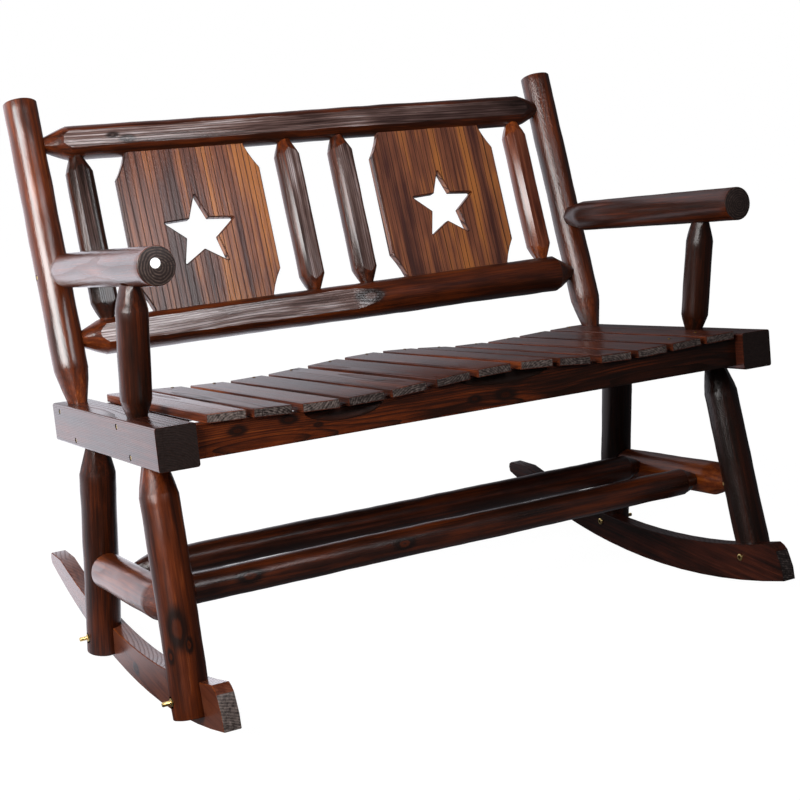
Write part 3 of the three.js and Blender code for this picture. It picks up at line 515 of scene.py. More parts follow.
# Unevenness of a log: name, size of the clouds in metres, their depth, the amount in millimetres, direction
LOG_WAVES = (
    ("log_bend", 0.34, 0, 2.4, "X"),
    ("log_bow", 0.27, 0, 2.4, "Y"),
    ("log_lumps", 0.055, 2, 2.2, "NORMAL"),
)


def whittle(piece, cap, way, radius, end):
    """Draws the cap of a log out into a cone and a sunk neck, way being 1 up or -1 down."""
    neck, taper = end
    select(piece, "FACE", lambda f: abs(f.calc_center_median().z - cap) < HAIR and abs(f.normal.z) > SQUARE)
    reached = 0
    wide = radius
    for along, narrowing in CONE_SHARES:
        ring = radius + (neck - radius) * narrowing
        step = way * taper * (along - reached)
        bpy.ops.mesh.extrude_region_move(TRANSFORM_OT_translate={"value": (0, 0, step)})
        cap += step
        bpy.ops.transform.resize(value=(ring / wide, ring / wide, 1), center_override=(0, 0, cap))
        reached = along
        wide = ring
    bpy.ops.mesh.extrude_region_move(TRANSFORM_OT_translate={"value": (0, 0, way * SUNK)})


def facet(piece, cap, way, radius, end, number):
    """Cuts the flats that a drawknife leaves round a whittled cone, each at its own angle and depth."""
    neck, taper = end
    slope = math.atan2(radius - neck * FACET_SHARE, taper)
    turn = number * GOLDEN_ANGLE
    with editing(piece):
        for i in range(FACETS):
            angle = turn + (i + FACET_STRAY * math.sin(i * FACET_SWAY + number)) * math.tau / FACETS
            side = Vector((math.cos(angle), math.sin(angle), 0))
            bpy.ops.mesh.select_all(action="SELECT")
            bpy.ops.mesh.bisect(
                plane_co=side * radius * (FACET_OUT - FACET_DEEPER * (i % 3)) + Vector((0, 0, cap)),
                plane_no=side * math.cos(slope) + Vector((0, 0, way * math.sin(slope))),
                use_fill=True,
                clear_outer=True,
            )


def make_log(number, span, radius, start=None, finish=None, swell=0, lumps=1.0):
    """Models a peeled log upright in its stretch of trunk, whittled at each end that has a neck and a
    taper, and sawn off with a worn edge at the others."""
    base = number * TRUNK_STEP
    low = base + (start[1] if start else 0)
    high = base + span - (finish[1] if finish else 0)
    thin = radius - swell / 2
    thick = radius + swell / 2
    bpy.ops.object.select_all(action="DESELECT")
    bpy.ops.mesh.primitive_cone_add(
        vertices=LOG_SIDES, radius1=thin, radius2=thick, depth=high - low, location=(0, 0, (low + high) / 2)
    )
    piece = started(oiled_log(), planed_flat(), sawn_end())
    bpy.ops.object.transform_apply(location=True, rotation=False, scale=False)
    ends = ((start, low, -1, thin), (finish, high, 1, thick))
    with editing(piece):
        for end, cap, way, wide in ends:
            if end:
                whittle(piece, cap, way, wide, end)
            else:
                select(piece, "EDGE", lambda e: all(abs(v.co.z - cap) < HAIR for v in e.verts))
                bpy.ops.mesh.bevel(offset=CUT_EDGE, segments=3, profile=0.5)
        cut_rings(piece, 2, (high - low) / 2, max(1, round((high - low) / RING_STEP)))
    for name, size, depth, amount, direction in LOG_WAVES:
        roughen(piece, name, size, depth, amount * MM * lumps, direction)
    for end, cap, way, wide in ends:
        if end:
            facet(piece, cap, way, wide, end, number)
        else:
            give_faces(piece, 2, lambda f: f.normal.z * way > SQUARE)
    return piece


def plane_face(piece, distance, angle=0.0, material=1):
    """Planes a flat along a whole log at a distance from its middle, turned about the log by an angle
    from its face."""
    out = Vector((math.sin(angle), math.cos(angle), 0))
    with editing(piece):
        bpy.ops.mesh.select_all(action="SELECT")
        bpy.ops.mesh.bisect(plane_co=out * distance, plane_no=out, use_fill=True, clear_outer=True)

    def planed(face):
        return face.normal.dot(out) > ALIGNED and abs(face.center.dot(out) - distance) < HAIR

    give_faces(piece, material, planed)


def bore_over(node, radius, sign, depth):
    """A cutter for the bore over a fastener, from a depth under its outer end outwards. Its black goes on
    the bore's walls as painted shade.
    """
    low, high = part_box(node)
    middle = (low + high) / 2
    middle.x = (high.x if sign > 0 else low.x) + sign * (BORE_REACH - depth) / 2
    return rod(BORE_SIDES, radius, BORE_REACH + depth, char_and_recess_shade(), middle, (0, math.pi / 2, 0))


def wedge(number, distance, reach, run, fade):
    """A cutter for a flat that runs from a log's start and then rises out of the wood."""
    size = Vector((4 * reach, reach - distance + CUT_OVER, run + CUT_OVER))
    middle = Vector((0, distance + size.y / 2, number * TRUNK_STEP + run - size.z / 2))
    cutter = block(size, middle, planed_flat())
    with editing(cutter):
        select(cutter, "EDGE", lambda e: all(v.co.z > middle.z and v.co.y > middle.y for v in e.verts))
        bpy.ops.transform.translate(value=(0, 0, fade * (size.y / (reach - distance))))
    return cutter


def set_log(piece, node, number, matrix, cutters=()):
    """Cuts a log's bores, stores its grain, sets it in the bench and lets it stand for its node."""
    placed = seat_frame() @ matrix @ in_trunk(number).inverted()
    for cutter in cutters:
        place_mesh(cutter, placed.inverted() @ cutter.matrix_world)
        carve(piece, cutter)
    store_grain(piece, Matrix.Identity(4), LOOKS[node])
    place_mesh(piece, placed)
    finish_piece(piece, node + "_finished", node)


# Materials

KNOT_SQUASH = 0.5  # distances along the grain count half, so knots are drawn out along it
KNOT_CELL = (95, 150)  # millimetres across and along in which one small knot may fall
KNOT_FRAY = 0.6  # how far each pattern frays a knot's outline, in radii
SAW_SHARE = 0.04  # how fast the rings' pattern changes along the grain
FIBRE_SHARE = 0.22  # of the fibres and the clouds of colour in the shade
CLOUD_SHARE = 0.4
MOTTLED = 0.8  # share of the blotches in the shade of end grain
SAWN = 0.4  # share of the saw's marks in it
SMOOTH = {"interpolation_type": "SMOOTHSTEP"}
COLOURS = {"data_type": "RGBA"}


def cells(across, along):
    """Scale of a pattern from the size of its cells across and along the grain, in millimetres."""
    return (1 / (across * MM), 1 / (across * MM), 1 / (along * MM))


def add(tree, kind, fields=None, inputs=None, out=0):
    """Adds a node, sets its fields or its operation, gives its inputs a value or a link, and returns one
    output."""
    made = tree.nodes.new("ShaderNode" + kind)
    if isinstance(fields, str):
        fields = {"operation": fields}
    for field, value in (fields or {}).items():
        if field == "stops":
            elements = made.color_ramp.elements
            for element, (place, colour) in zip((elements[0], elements[-1]), (value[0], value[-1])):
                element.position = place
                element.color = (*colour, 1)
            for place, colour in value[1:-1]:
                elements.new(place).color = (*colour, 1)
        else:
            setattr(made, field, value)
    for key, value in (inputs or {}).items():
        if isinstance(value, bpy.types.NodeSocket):
            tree.links.new(value, made.inputs[key])
        else:
            made.inputs[key].default_value = value
    return made.outputs[out] if made.outputs else None


def made_material(name, surface, *looks, **more):
    """A material by its name. When it is first asked for, it gets the surface that is built for it."""
    material = bpy.data.materials.get(name)
    if not material:
        material = bpy.data.materials.new(name)
        material.use_nodes = True
        tree = material.node_tree
        tree.nodes.clear()
        add(tree, "OutputMaterial", {}, {"Surface": surface(tree, *looks, **more)})
    return material


def weighed(tree, parts, start=0.0):
    """Adds up several measures, each times its share."""
    found = start
    for measure, share in parts:
        found = add(tree, "Math", "MULTIPLY_ADD", {0: measure, 1: share, 2: found})
    return found


def clouded(tree, place, across, along, detail, rough=0.5, out=0):
    """A cloudy pattern whose cells have a real size across and along the grain, in millimetres."""
    scaled = add(tree, "VectorMath", "MULTIPLY", {0: place, 1: cells(across, along)})
    settings = {"Vector": scaled, "Scale": 1.0, "Detail": detail, "Roughness": rough}
    return add(tree, "TexNoise", {}, settings, out)


def grown(tree, across, along, detail, bend):
    """Each point's place in the trunk, and that place with the rings' middle wandering some millimetres."""
    trunk = add(tree, "Attribute", {"attribute_name": "grain"}, {}, "Vector")
    drift = clouded(tree, trunk, across, along, detail, 0.5, "Color")
    swing = (bend * MM, bend * MM, 0)
    return trunk, add(tree, "VectorMath", "MULTIPLY_ADD", {0: drift, 1: swing, 2: trunk})


def ring_fields(profile):
    """Fields of a wave that runs round the trunk's pith."""
    return {"wave_type": "RINGS", "rings_direction": "Z", "wave_profile": profile}


def ring_scale(ring):
    """Scale of a wave from its rings' distance in millimetres: it repeats every tenth of pi over that."""
    return math.pi / (10 * ring * MM)


def knots(tree, trunk, bent, frays, size, heroes):
    """Measures how far each point is from the nearest knot, in radii of that knot: a few small ones
    wherever they fall, and those at chosen places in the trunk."""
    spots = add(tree, "VectorMath", "MULTIPLY", {0: bent, 1: cells(*KNOT_CELL)})
    nearest = add(tree, "TexVoronoi", {}, {"Vector": spots, "Scale": 1.0}, "Distance")
    found = add(tree, "Math", "MULTIPLY", {0: nearest, 1: KNOT_CELL[0] / size})
    squashed = add(tree, "VectorMath", "MULTIPLY", {0: trunk, 1: (1, 1, KNOT_SQUASH)})
    for (x, y, z), radius in heroes:
        spot = (x, y, z * KNOT_SQUASH)
        near = add(tree, "VectorMath", "DISTANCE", {0: squashed, 1: spot}, "Value")
        near = add(tree, "Math", "MULTIPLY", {0: near, 1: 1 / radius})
        found = add(tree, "Math", "MINIMUM", {0: found, 1: near})
    # Fibres and slower waves fray the knot's outline to either side
    shares = [(found, 1)] + [(fray, KNOT_FRAY) for fray in frays]
    return weighed(tree, shares, -KNOT_FRAY / 2 * len(frays))


def wood(
    tree, shades, ring=3.4, rings=0.3, line=0.5, streaky=0.35, bands=0.0, light=0.0, spread=0.16, knot=7.0,
    heroes=(), rough=0.4, coat=0.75, hewn=1.0, bend=9.0, sway=(110, 330), aside=0.0, satin=0.17, heart=0.55,
    toned=0.1,
):
    """Fir that was charred with a flame, brushed and oiled. Its soft spring wood burns back dark and its
    hard late rings stay as lines, so the eye sees fine straight grain, slow streaks from red-brown to
    black, a few rimmed knots and a satin film that breaks up over drawknife marks and small pits."""
    # ring is the rings' distance in millimetres, rings how dark and line how thin their late wood is.
    # streaky, bands and toned are the shares of streaks, of strips and of the piece's lightness in the
    # shade, a lightness that is partly the wood's own and partly painted light and shade. light lifts it and
    # spread softens it. knot is the small knots' radius, heart their middles' lightness.
    # rough, coat and satin are the oil's, hewn the tool marks' depth. bend, sway and aside move the pith.
    trunk, bent = grown(tree, *sway, 1.0, bend)
    upright = add(tree, "VectorMath", "MULTIPLY_ADD", {0: bent, 1: (1, 1, SAW_SHARE), 2: (aside * MM, 0, 0)})
    settings = {"Scale": ring_scale(ring), "Distortion": 2.2, "Detail": 2.0, "Detail Scale": 0.5}
    wave = add(tree, "TexWave", ring_fields("SAW"), {"Vector": upright, **settings}, "Fac")
    late = add(tree, "MapRange", SMOOTH, {"Value": wave, "From Min": line, "From Max": 1.0})
    fibres, streaks, clouding, strips, marks, pits = (
        clouded(tree, place, across, along, detail, 0.6)
        for place, across, along, detail in (
            (bent, 1.1, 60, 3.0),  # fibres
            (bent, 6, 260, 3.0),  # streaks of char
            (bent, 38, 190, 3.0),  # clouds of colour
            (bent, 30, 900, 2.0),  # strips that took the flame differently
            (trunk, 12, 80, 2.0),  # drawknife marks
            (trunk, 2.4, 6, 2.0),  # pits
        )
    )
    tone, relief, shine = (
        add(tree, "Attribute", {"attribute_name": name}, {}, "Fac") for name in ("tone", "relief", "shine")
    )
    shares = [(streaks, streaky), (fibres, FIBRE_SHARE), (clouding, CLOUD_SHARE)]
    shares += [(strips, bands), (tone, toned)]
    middle = (streaky + FIBRE_SHARE + CLOUD_SHARE + bands) / 2
    reach = {"From Min": middle - spread, "From Max": middle + spread}
    level = add(tree, "MapRange", {}, {"Value": weighed(tree, shares, light), **reach})
    colour = add(tree, "ValToRGB", {"stops": list(zip((0.0, 0.35, 0.68, 1.0), shades))}, {"Fac": level})
    # Some rings are burnt darker than others
    uneven = weighed(tree, [(streaks, 2.0 * rings)], -0.1 * rings)
    ringed = add(tree, "Math", {"operation": "MULTIPLY", "use_clamp": True}, {0: late, 1: uneven})
    lined = add(tree, "Mix", COLOURS, {0: ringed, 6: colour, 7: (*shades[0], 1)}, 2)
    # A knot has a dark rim and a red-brown heart
    from_knot = knots(tree, trunk, bent, (fibres, marks), knot, heroes)
    hearted = tuple(v * heart for v in shades[2])
    dark = shades[0]
    stops = [(0.0, dark), (0.25, hearted), (0.5, hearted), (0.7, dark), (1.0, dark)]
    inside = add(tree, "ValToRGB", {"stops": stops}, {"Fac": from_knot})
    fall = {"From Min": 1.9, "From Max": 0.95, "To Min": 0.0, "To Max": 0.95}
    in_knot = add(tree, "MapRange", SMOOTH, {"Value": from_knot, **fall})
    knotted = add(tree, "Mix", COLOURS, {0: in_knot, 6: lined, 7: inside}, 2)
    # Relief in millimetres: fibres, drawknife marks, small pits, sunk late rings and raised knots
    pitted = add(tree, "Math", "MULTIPLY", {0: pits, 1: relief})
    reliefs = [(fibres, 0.06), (marks, 0.5 * hewn), (pitted, 0.5), (late, -0.06), (in_knot, 0.15)]
    bump = add(tree, "Bump", {}, {"Strength": 1.0, "Distance": MM, "Height": weighed(tree, reliefs)})
    # The oil sinks into the late rings, so they are duller
    sunk = min(1, rings * 1.6)
    dull = weighed(tree, [(fibres, 0.2), (late, 0.2 * sunk), (clouding, 0.15)], rough - 0.17)
    film = weighed(tree, [(late, -coat * sunk)], coat)
    surface = {
        "Base Color": knotted,
        "Roughness": dull,
        "IOR": 1.5,
        "Specular IOR Level": 0.1,
        "Coat Weight": add(tree, "Math", "MULTIPLY", {0: film, 1: shine}),
        "Coat Roughness": satin,
        "Normal": bump,
        "Coat Normal": bump,
    }
    return add(tree, "BsdfPrincipled", {}, surface)


def shades_of(*names):
    """Shades of a wood, from the darkest to the lightest."""
    return [tuple(getattr(finishes(), name)) for name in names]


def oiled_log():
    """Peeled trunk surface: nearly plain red-brown under a soft shine, with slow dark streaks."""
    shades = shades_of("char", "log_dark", "log", "log_warm")
    more = {"rings": 0.12, "spread": 0.19, "heroes": HERO_KNOTS, "satin": 0.23}
    return made_material("oiled_fir_log", wood, shades, **more)


def planed_flat():
    """A flat planed along a log. Its cut late rings show as dark lines in silvery grey, partly the planed
    wood's own grey and partly a painted sheen of the front lamp.
    """
    shades = shades_of("char", "flat_dark", "flat", "silver")
    lines = {"ring": 3.2, "rings": 0.9, "line": 0.6, "bend": 14.0, "aside": 26.0, "heroes": HERO_KNOTS}
    shading = {"streaky": 0.6, "light": 0.06, "spread": 0.18, "toned": 0.2}
    return made_material(
        "planed_fir_flat", wood, shades, rough=0.36, coat=1.0, hewn=0.4, **lines, **shading
    )


def worn_board():
    """Planed boards of the seat and rockers: purple-brown, fine straight lines, a waxy sheen."""
    shades = shades_of("char", "board_dark", "board", "board_pale")
    return made_material("oiled_fir_board", wood, shades, ring=2.8, rings=0.35, coat=0.6, hewn=0.25)


def bearer_board():
    """Flat-sawn board: wavy dark lines on orange-brown, with knots."""
    shades = shades_of("char", "log_dark", "log", "log_warm")
    lines = {"ring": 2.6, "rings": 0.9, "bend": 26.0, "knot": 9.0, "heroes": BEARER_KNOTS, "heart": 0.2}
    return made_material(
        "flat_sawn_fir_bearer", wood, shades, light=0.02, rough=0.42, coat=0.5, hewn=0.4, **lines
    )


def flamed_panel():
    """Panels flamed harder than the rest: strips of orange and brown with thin dark lines."""
    shades = shades_of("char_blue", "panel_dark", "panel", "flame")
    lines = {"ring": 10.0, "rings": 1.3, "line": 0.74, "bend": 16.0, "sway": (32, 800), "knot": 3.0}
    shading = {"streaky": 0.3, "bands": 0.6, "spread": 0.19}
    return made_material(
        "flamed_fir_panel", wood, shades, rough=0.42, coat=0.5, hewn=0.3, **lines, **shading
    )


def bare_edge():
    """Sawn side of a board, rougher and more orange than its planed face."""
    shades = shades_of("char", "log_dark", "edge", "log_warm")
    return made_material("sawn_fir_side", wood, shades, rings=0.5, rough=0.5, coat=0.1)


def char_and_recess_shade():
    """Wood that the flame burnt black on the panels' rims. In the bores and the hollows under the bark the
    same black is painted shade.
    """
    shades = shades_of("char", "char", "log_dark", "log")
    return made_material("charred_fir_edge", wood, shades, rough=0.55, coat=0.05)


def end_grain(tree, pale, contrast, ring=4.2, coat=0.3, lift=0.0):
    """Sawn end grain: dark late rings curve round the pith between paler ones, with short radial
    checks, and a dull film."""
    trunk, bent = grown(tree, 30, 400, 2.0, 7)
    settings = {"Vector": bent, "Scale": ring_scale(ring), "Distortion": 0.8, "Detail": 2.0}
    wave = add(tree, "TexWave", ring_fields("SIN"), settings, "Fac")
    parts = add(tree, "SeparateXYZ", {}, {0: bent}).node.outputs
    angle = add(tree, "Math", "ARCTAN2", {0: parts["Y"], 1: parts["X"]})
    fan = add(tree, "TexNoise", {"noise_dimensions": "1D"}, {"W": angle, "Scale": 5.0, "Detail": 3.0})
    crack = add(tree, "MapRange", SMOOTH, {"Value": fan, "From Min": 0.66, "From Max": 0.72})
    blotches = clouded(tree, trunk, 5, 5, 4.0, 0.6)
    saw = clouded(tree, trunk, 0.9, 0.9, 2.0, 0.6)
    # The piece's lightness, partly its own colour and partly painted light and shade, reaches its sawn ends
    # too
    tone = add(tree, "Attribute", {"attribute_name": "tone"}, {}, "Fac")
    shares = [(wave, contrast), (blotches, MOTTLED), (saw, SAWN), (tone, 0.1)]
    shade = weighed(tree, shares, 0.27 + lift - (contrast + MOTTLED) / 2)
    f = finishes()
    between = tuple((2 * a + b) / 3 for a, b in zip(f.end_dark, pale))
    stops = [(0.25, f.char), (0.45, f.end_dark), (0.62, between), (0.88, pale)]
    colour = add(tree, "ValToRGB", {"stops": stops}, {"Fac": shade})
    cracked = add(tree, "Mix", COLOURS, {0: crack, 6: colour, 7: (*f.char, 1)}, 2)
    height = weighed(tree, [(wave, 0.12), (saw, 0.3)])
    fall = {"From Min": 0.3, "From Max": 0.7, "To Min": 0.34, "To Max": 0.55}
    surface = {
        "Base Color": cracked,
        "Roughness": add(tree, "MapRange", {}, {"Value": blotches, **fall}),
        "Specular IOR Level": 0.3,
        "Coat Weight": coat,
        "Coat Roughness": 0.3,
        "Normal": add(tree, "Bump", {}, {"Distance": MM, "Height": height}),
    }
    return add(tree, "BsdfPrincipled", {}, surface)


def sawn_end():
    """Oiled end grain, nearly as dark as the rest, with plain rings."""
    return made_material("sawn_fir_end", end_grain, finishes().end_pale, 0.45)


def silver_end():
    """End grain left rough and weathered grey before it was oiled: fine silver specks, faint arcs."""
    return made_material("greyed_fir_end", end_grain, finishes().end_silver, 0.14, 3.8, lift=0.05)


def dark_end():
    """Sawn end that was planed and oiled twice: near-black brown with faint arcs."""
    return made_material("oiled_fir_end", end_grain, finishes().log_dark, 0.22, 3.6, coat=0.1)


def metal(tree, colour, rough):
    """Turned brass under a thin lacquer, dulled in patches by handling."""
    dull = clouded(tree, add(tree, "TexCoord", {}, {}, "Object"), 3, 3, 3.0)
    stops = [(0.3, tuple(v * 0.6 for v in colour)), (0.6, tuple(colour))]
    patina = {"Value": dull, "From Min": 0.3, "From Max": 0.7, "To Min": rough + 0.12, "To Max": rough}
    surface = {
        "Base Color": add(tree, "ValToRGB", {"stops": stops}, {"Fac": dull}),
        "Metallic": 1.0,
        "Roughness": add(tree, "MapRange", {}, patina),
    }
    return add(tree, "BsdfPrincipled", {}, surface)


def brass():
    """Bright yellow brass: small warm gold lights."""
    return made_material("turned_yellow_brass", metal, finishes().brass, 0.24)


def tarnished_brass():
    """Darker brown brass with a dull glint: painted shade in the screws' crosses and the bolts' sockets, and
    the small slat screws' colour.
    """
    return made_material("tarnished_brass", metal, finishes().tarnish, 0.4)


def paper(tree):
    """Coated paper: even white, a little soft."""
    fibre = clouded(tree, add(tree, "TexCoord", {}, {}, "Object"), 0.4, 0.4, 2.0)
    stops = [(0.3, (0.8, 0.8, 0.8)), (0.7, (0.88, 0.88, 0.88))]
    surface = {
        "Base Color": add(tree, "ValToRGB", {"stops": stops}, {"Fac": fibre}),
        "Roughness": 0.55,
        "Normal": add(tree, "Bump", {}, {"Strength": 0.1, "Distance": MM, "Height": fibre}),
    }
    return add(tree, "BsdfPrincipled", {}, surface)


# Places shared by several pieces

SIDES = (("left", -1), ("right", 1))
RIGHT = Vector((1, 0, 0))
FRONT = Vector((0, -1, 0))
REAR = Vector((0, 1, 0))
UP = Vector((0, 0, 1))
BORE_UNDER = 1 * MM  # how deep a screw's bore goes under the outer end of the screw


def rail_end_x():
    """Where the back rails meet the posts."""
    return side_x() - logs().post_radius


def foot_at(x):
    """Top of the lower rail at a place across, along the posts."""
    s = logs()
    share = x / (2 * rail_end_x())
    return s.lower_rail_height + s.lower_rail_radius + (s.lower_rail_rise + s.lower_rail_swell) * share


def head_at(x):
    """Underside of the top rail at a place across, along the posts."""
    s = logs()
    return s.top_rail_height - s.top_rail_radius + s.top_rail_rise * x / (2 * rail_end_x())


def leg_line(sign, end):
    """Top of a leg and its direction, one unit down."""
    half = boards().rail_length / 2
    if end == "front":
        y = logs().front_leg_from_front - half
        lean = -math.tan(FRONT_LEG_RAKE)
    else:
        y = half - logs().rear_leg_from_rear
        lean = math.tan(REAR_LEG_RAKE)
    return Vector((sign * side_x(), y, 0)), Vector((sign * math.tan(LEG_SPLAY), lean, -1))


class BENCH_OT_posts(bpy.types.Operator):
    """Model the two leaning back posts"""

    bl_idname = "bench.posts"
    bl_label = "Back Posts"

    def execute(self, context):
        s = logs()
        for number, (side, sign) in enumerate(SIDES, 1):
            piece = make_log(number, s.post_length, s.post_radius, start=(s.post_neck, s.post_taper))
            matrix = frame_along(on_back(sign * side_x(), 0), POST_UP, POST_OUT)
            bore = bore_over("arm_screw_" + side, boards().screw_bore, sign, BORE_UNDER)
            set_log(piece, "back_post_" + side, number, matrix, [bore])
        return {"FINISHED"}


class BENCH_OT_back_rails(bpy.types.Operator):
    """Model the top and lower back rails with their planed faces"""

    bl_idname = "bench.back_rails"
    bl_label = "Back Rails"

    def execute(self, context):
        s = logs()
        end = (s.rail_neck, s.rail_taper)
        for number, kind, swell in ((3, "top", 0), (4, "lower", s.lower_rail_swell)):
            height, rise, radius, planed = (
                getattr(s, kind + "_rail_" + size) for size in ("height", "rise", "radius", "planed")
            )
            left = on_back(-rail_end_x(), height - rise / 2, s.rail_forward)
            right = on_back(rail_end_x(), height + rise / 2, s.rail_forward)
            along = right - left
            piece = make_log(number, along.length, radius, end, end, swell)
            if kind == "top":
                plane_face(piece, planed)
            else:
                run = rail_end_x() + s.lower_rail_flat_end
                carve(piece, wedge(number, planed, radius + swell, run, s.lower_rail_flat_fade))
            set_log(piece, kind + "_back_rail", number, frame_along(left, along, POST_OUT))
        return {"FINISHED"}


class BENCH_OT_spindles(bpy.types.Operator):
    """Model the four spindles of the back"""

    bl_idname = "bench.spindles"
    bl_label = "Spindles"

    def execute(self, context):
        s = logs()
        end = (s.spindle_neck, s.spindle_taper)
        for number in range(5, 9):
            node = "back_spindle_" + str(number - 4)
            low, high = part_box(node)
            x = (low.x + high.x) / 2
            foot = foot_at(x)
            piece = make_log(number, head_at(x) - foot, s.spindle_radius, end, end, lumps=0.6)
            if node == "back_spindle_4":
                piece.data.materials[1] = worn_board()
            plane_face(piece, s.spindle_planed)
            plane_face(piece, s.spindle_radius * BEVEL_SHARE, BEVEL_ANGLE, material=0)
            matrix = frame_along(on_back(x, foot, s.rail_forward + s.infill_forward), POST_UP, POST_OUT)
            set_log(piece, node, number, matrix)
        return {"FINISHED"}


class BENCH_OT_arms(bpy.types.Operator):
    """Model the two arms"""

    bl_idname = "bench.arms"
    bl_label = "Arms"

    def execute(self, context):
        s = logs()
        up_post = (s.arm_height - boards().rail_height) / math.cos(POST_LEAN)
        rear = on_back(0, up_post).y - s.post_radius / math.cos(POST_LEAN)
        front = s.arm_setback - boards().rail_length / 2
        for number, (side, sign) in enumerate(SIDES, 9):
            place = Vector((sign * (side_x() - s.arm_inset), front, s.arm_height))
            piece = make_log(number, rear - front, s.arm_radius, finish=(s.arm_neck, s.arm_taper), lumps=0.6)
            set_log(piece, "arm_" + side, number, frame_along(place, REAR, UP))
        return {"FINISHED"}


class BENCH_OT_supports(bpy.types.Operator):
    """Model the two arm supports"""

    bl_idname = "bench.supports"
    bl_label = "Arm Supports"

    def execute(self, context):
        s = logs()
        up = Vector((0, -math.sin(SUPPORT_LEAN), math.cos(SUPPORT_LEAN)))
        span = (s.arm_height - s.arm_radius - boards().rail_height) / math.cos(SUPPORT_LEAN)
        front = s.support_from_front - boards().rail_length / 2
        foot = (s.support_neck, s.support_foot_taper)
        top = (s.support_neck, s.support_top_taper)
        for number, (side, sign) in enumerate(SIDES, 11):
            place = Vector((sign * side_x(), front, boards().rail_height))
            piece = make_log(number, span, s.support_radius, foot, top, lumps=0.8)
            set_log(piece, "arm_support_" + side, number, frame_along(place, up, FRONT))
        return {"FINISHED"}


class BENCH_OT_legs(bpy.types.Operator):
    """Model the four legs"""

    bl_idname = "bench.legs"
    bl_label = "Legs"

    def execute(self, context):
        s = logs()
        number = 12
        for side, sign in SIDES:
            for end, drop in (("front", s.front_leg_drop), ("rear", s.rear_leg_drop)):
                number += 1
                place, down = leg_line(sign, end)
                piece = make_log(number, drop * down.length, s.leg_radius, start=(s.leg_neck, s.leg_taper))
                nut = end + "_nut_" + side
                low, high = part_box(nut)
                bore = bore_over(nut, boards().nut_bore, sign, high.x - low.x)
                set_log(piece, end + "_leg_" + side, number, frame_along(place, down, FRONT), [bore])
        return {"FINISHED"}


class BENCH_OT_stretchers(bpy.types.Operator):
    """Model the side stretchers and the long stretchers"""

    bl_idname = "bench.stretchers"
    bl_label = "Stretchers"

    def execute(self, context):
        s = logs()
        front = (s.side_stretcher_front_neck, s.side_stretcher_front_taper)
        rear = (s.side_stretcher_rear_neck, s.side_stretcher_rear_taper)
        for number, (side, sign) in enumerate(SIDES, 17):
            ends = []
            for end, way, rake in (("front", 1, FRONT_LEG_RAKE), ("rear", -1, REAR_LEG_RAKE)):
                place, down = leg_line(sign, end)
                clear = Vector((0, way * s.leg_radius / math.cos(rake), 0))
                ends.append(place + down * s.stretcher_drop + clear)
            along = ends[1] - ends[0]
            piece = make_log(number, along.length, s.side_stretcher_radius, front, rear)
            set_log(piece, "side_stretcher_" + side, number, frame_along(ends[0], along, UP))
        reach = side_x() + s.stretcher_drop * math.tan(LEG_SPLAY)
        span = 2 * (reach - s.side_stretcher_radius)
        neck = (s.long_stretcher_neck, s.long_stretcher_taper)
        for number, end, y, raised in (
            (19, "front", -s.front_stretcher_ahead, 0),
            (20, "rear", s.rear_stretcher_behind, s.rear_stretcher_raise),
        ):
            piece = make_log(number, span, s.long_stretcher_radius, neck, neck)
            place = Vector((-span / 2, y, raised - s.stretcher_drop))
            set_log(piece, "long_stretcher_" + end, number, frame_along(place, RIGHT, FRONT))
        return {"FINISHED"}


# Boards

BOARD_WEAR = ("board_wear", 0.07, 2)  # name, size of the clouds in metres and their depth
RAIL_WEAR = 0.35 * MM
SLAT_WEAR = 0.5 * MM
RAIL_RINGS = 24  # cuts along a side rail
SLAT_RINGS = 20  # cuts along and across a slat
SLAT_ROWS = 4
SLAT_PITHS = ((-0.02, 0.015, 0.03, -0.035), (0.03, 0.05, -0.04))  # across and up, taken in turn
RAIL_PITH = (0.02, 0.055)  # of a board's middle from that of its trunk, in metres
ROCKER_PITH = (0.03, 0.08)
PANEL_PITH = (0.3, 0.05)
PANEL_WEAR = 0.7  # of the other boards' worn edges
NOSE_LENGTH = 60 * MM  # of a rocker, in which its steep faces are the cut front end
NOSE_STEEP = 0.6


def copy_of(node, *materials):
    """A copy of a node's solid with its loose triangles merged into whole faces."""
    piece = bpy.data.objects.new(node + "_copy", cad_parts[node].data.copy())
    bpy.context.scene.collection.objects.link(piece)
    piece.data.materials.clear()
    for material in materials:
        piece.data.materials.append(material)
    with editing(piece):
        bpy.ops.mesh.select_all(action="SELECT")
        bpy.ops.mesh.remove_doubles(threshold=HAIR)
        bpy.ops.mesh.dissolve_limited(angle_limit=COPLANAR)
    bpy.ops.mesh.customdata_custom_splitnormals_clear()
    return piece


def wear_edges(piece, width, test, material=1, segments=2):
    """Rounds the sharp edges that pass a test, and gives the rounding a material of its own."""
    with editing(piece):
        select(piece, "EDGE", lambda e: e.is_manifold and e.calc_face_angle(0) > SHARP and test(e))
        bpy.ops.mesh.bevel(offset=width, segments=segments, material=material)


def set_board(piece, node, number, lengthways, pith, way=2):
    """Stores a board's grain, which runs along a frame's Z, and lets it stand for its node."""
    to_trunk = in_trunk(number) @ Matrix.Translation((*pith, 0)) @ lengthways.inverted()
    store_grain(piece, to_trunk, LOOKS.get(node, PLAIN_LOOK), way)
    finish_piece(piece, node + "_finished", node)
    # The wide faces stay flat and only the worn edges turn
    modifier = piece.modifiers.new("flat_faces", "WEIGHTED_NORMAL")
    modifier.keep_sharp = True
    apply_modifier(piece, modifier)


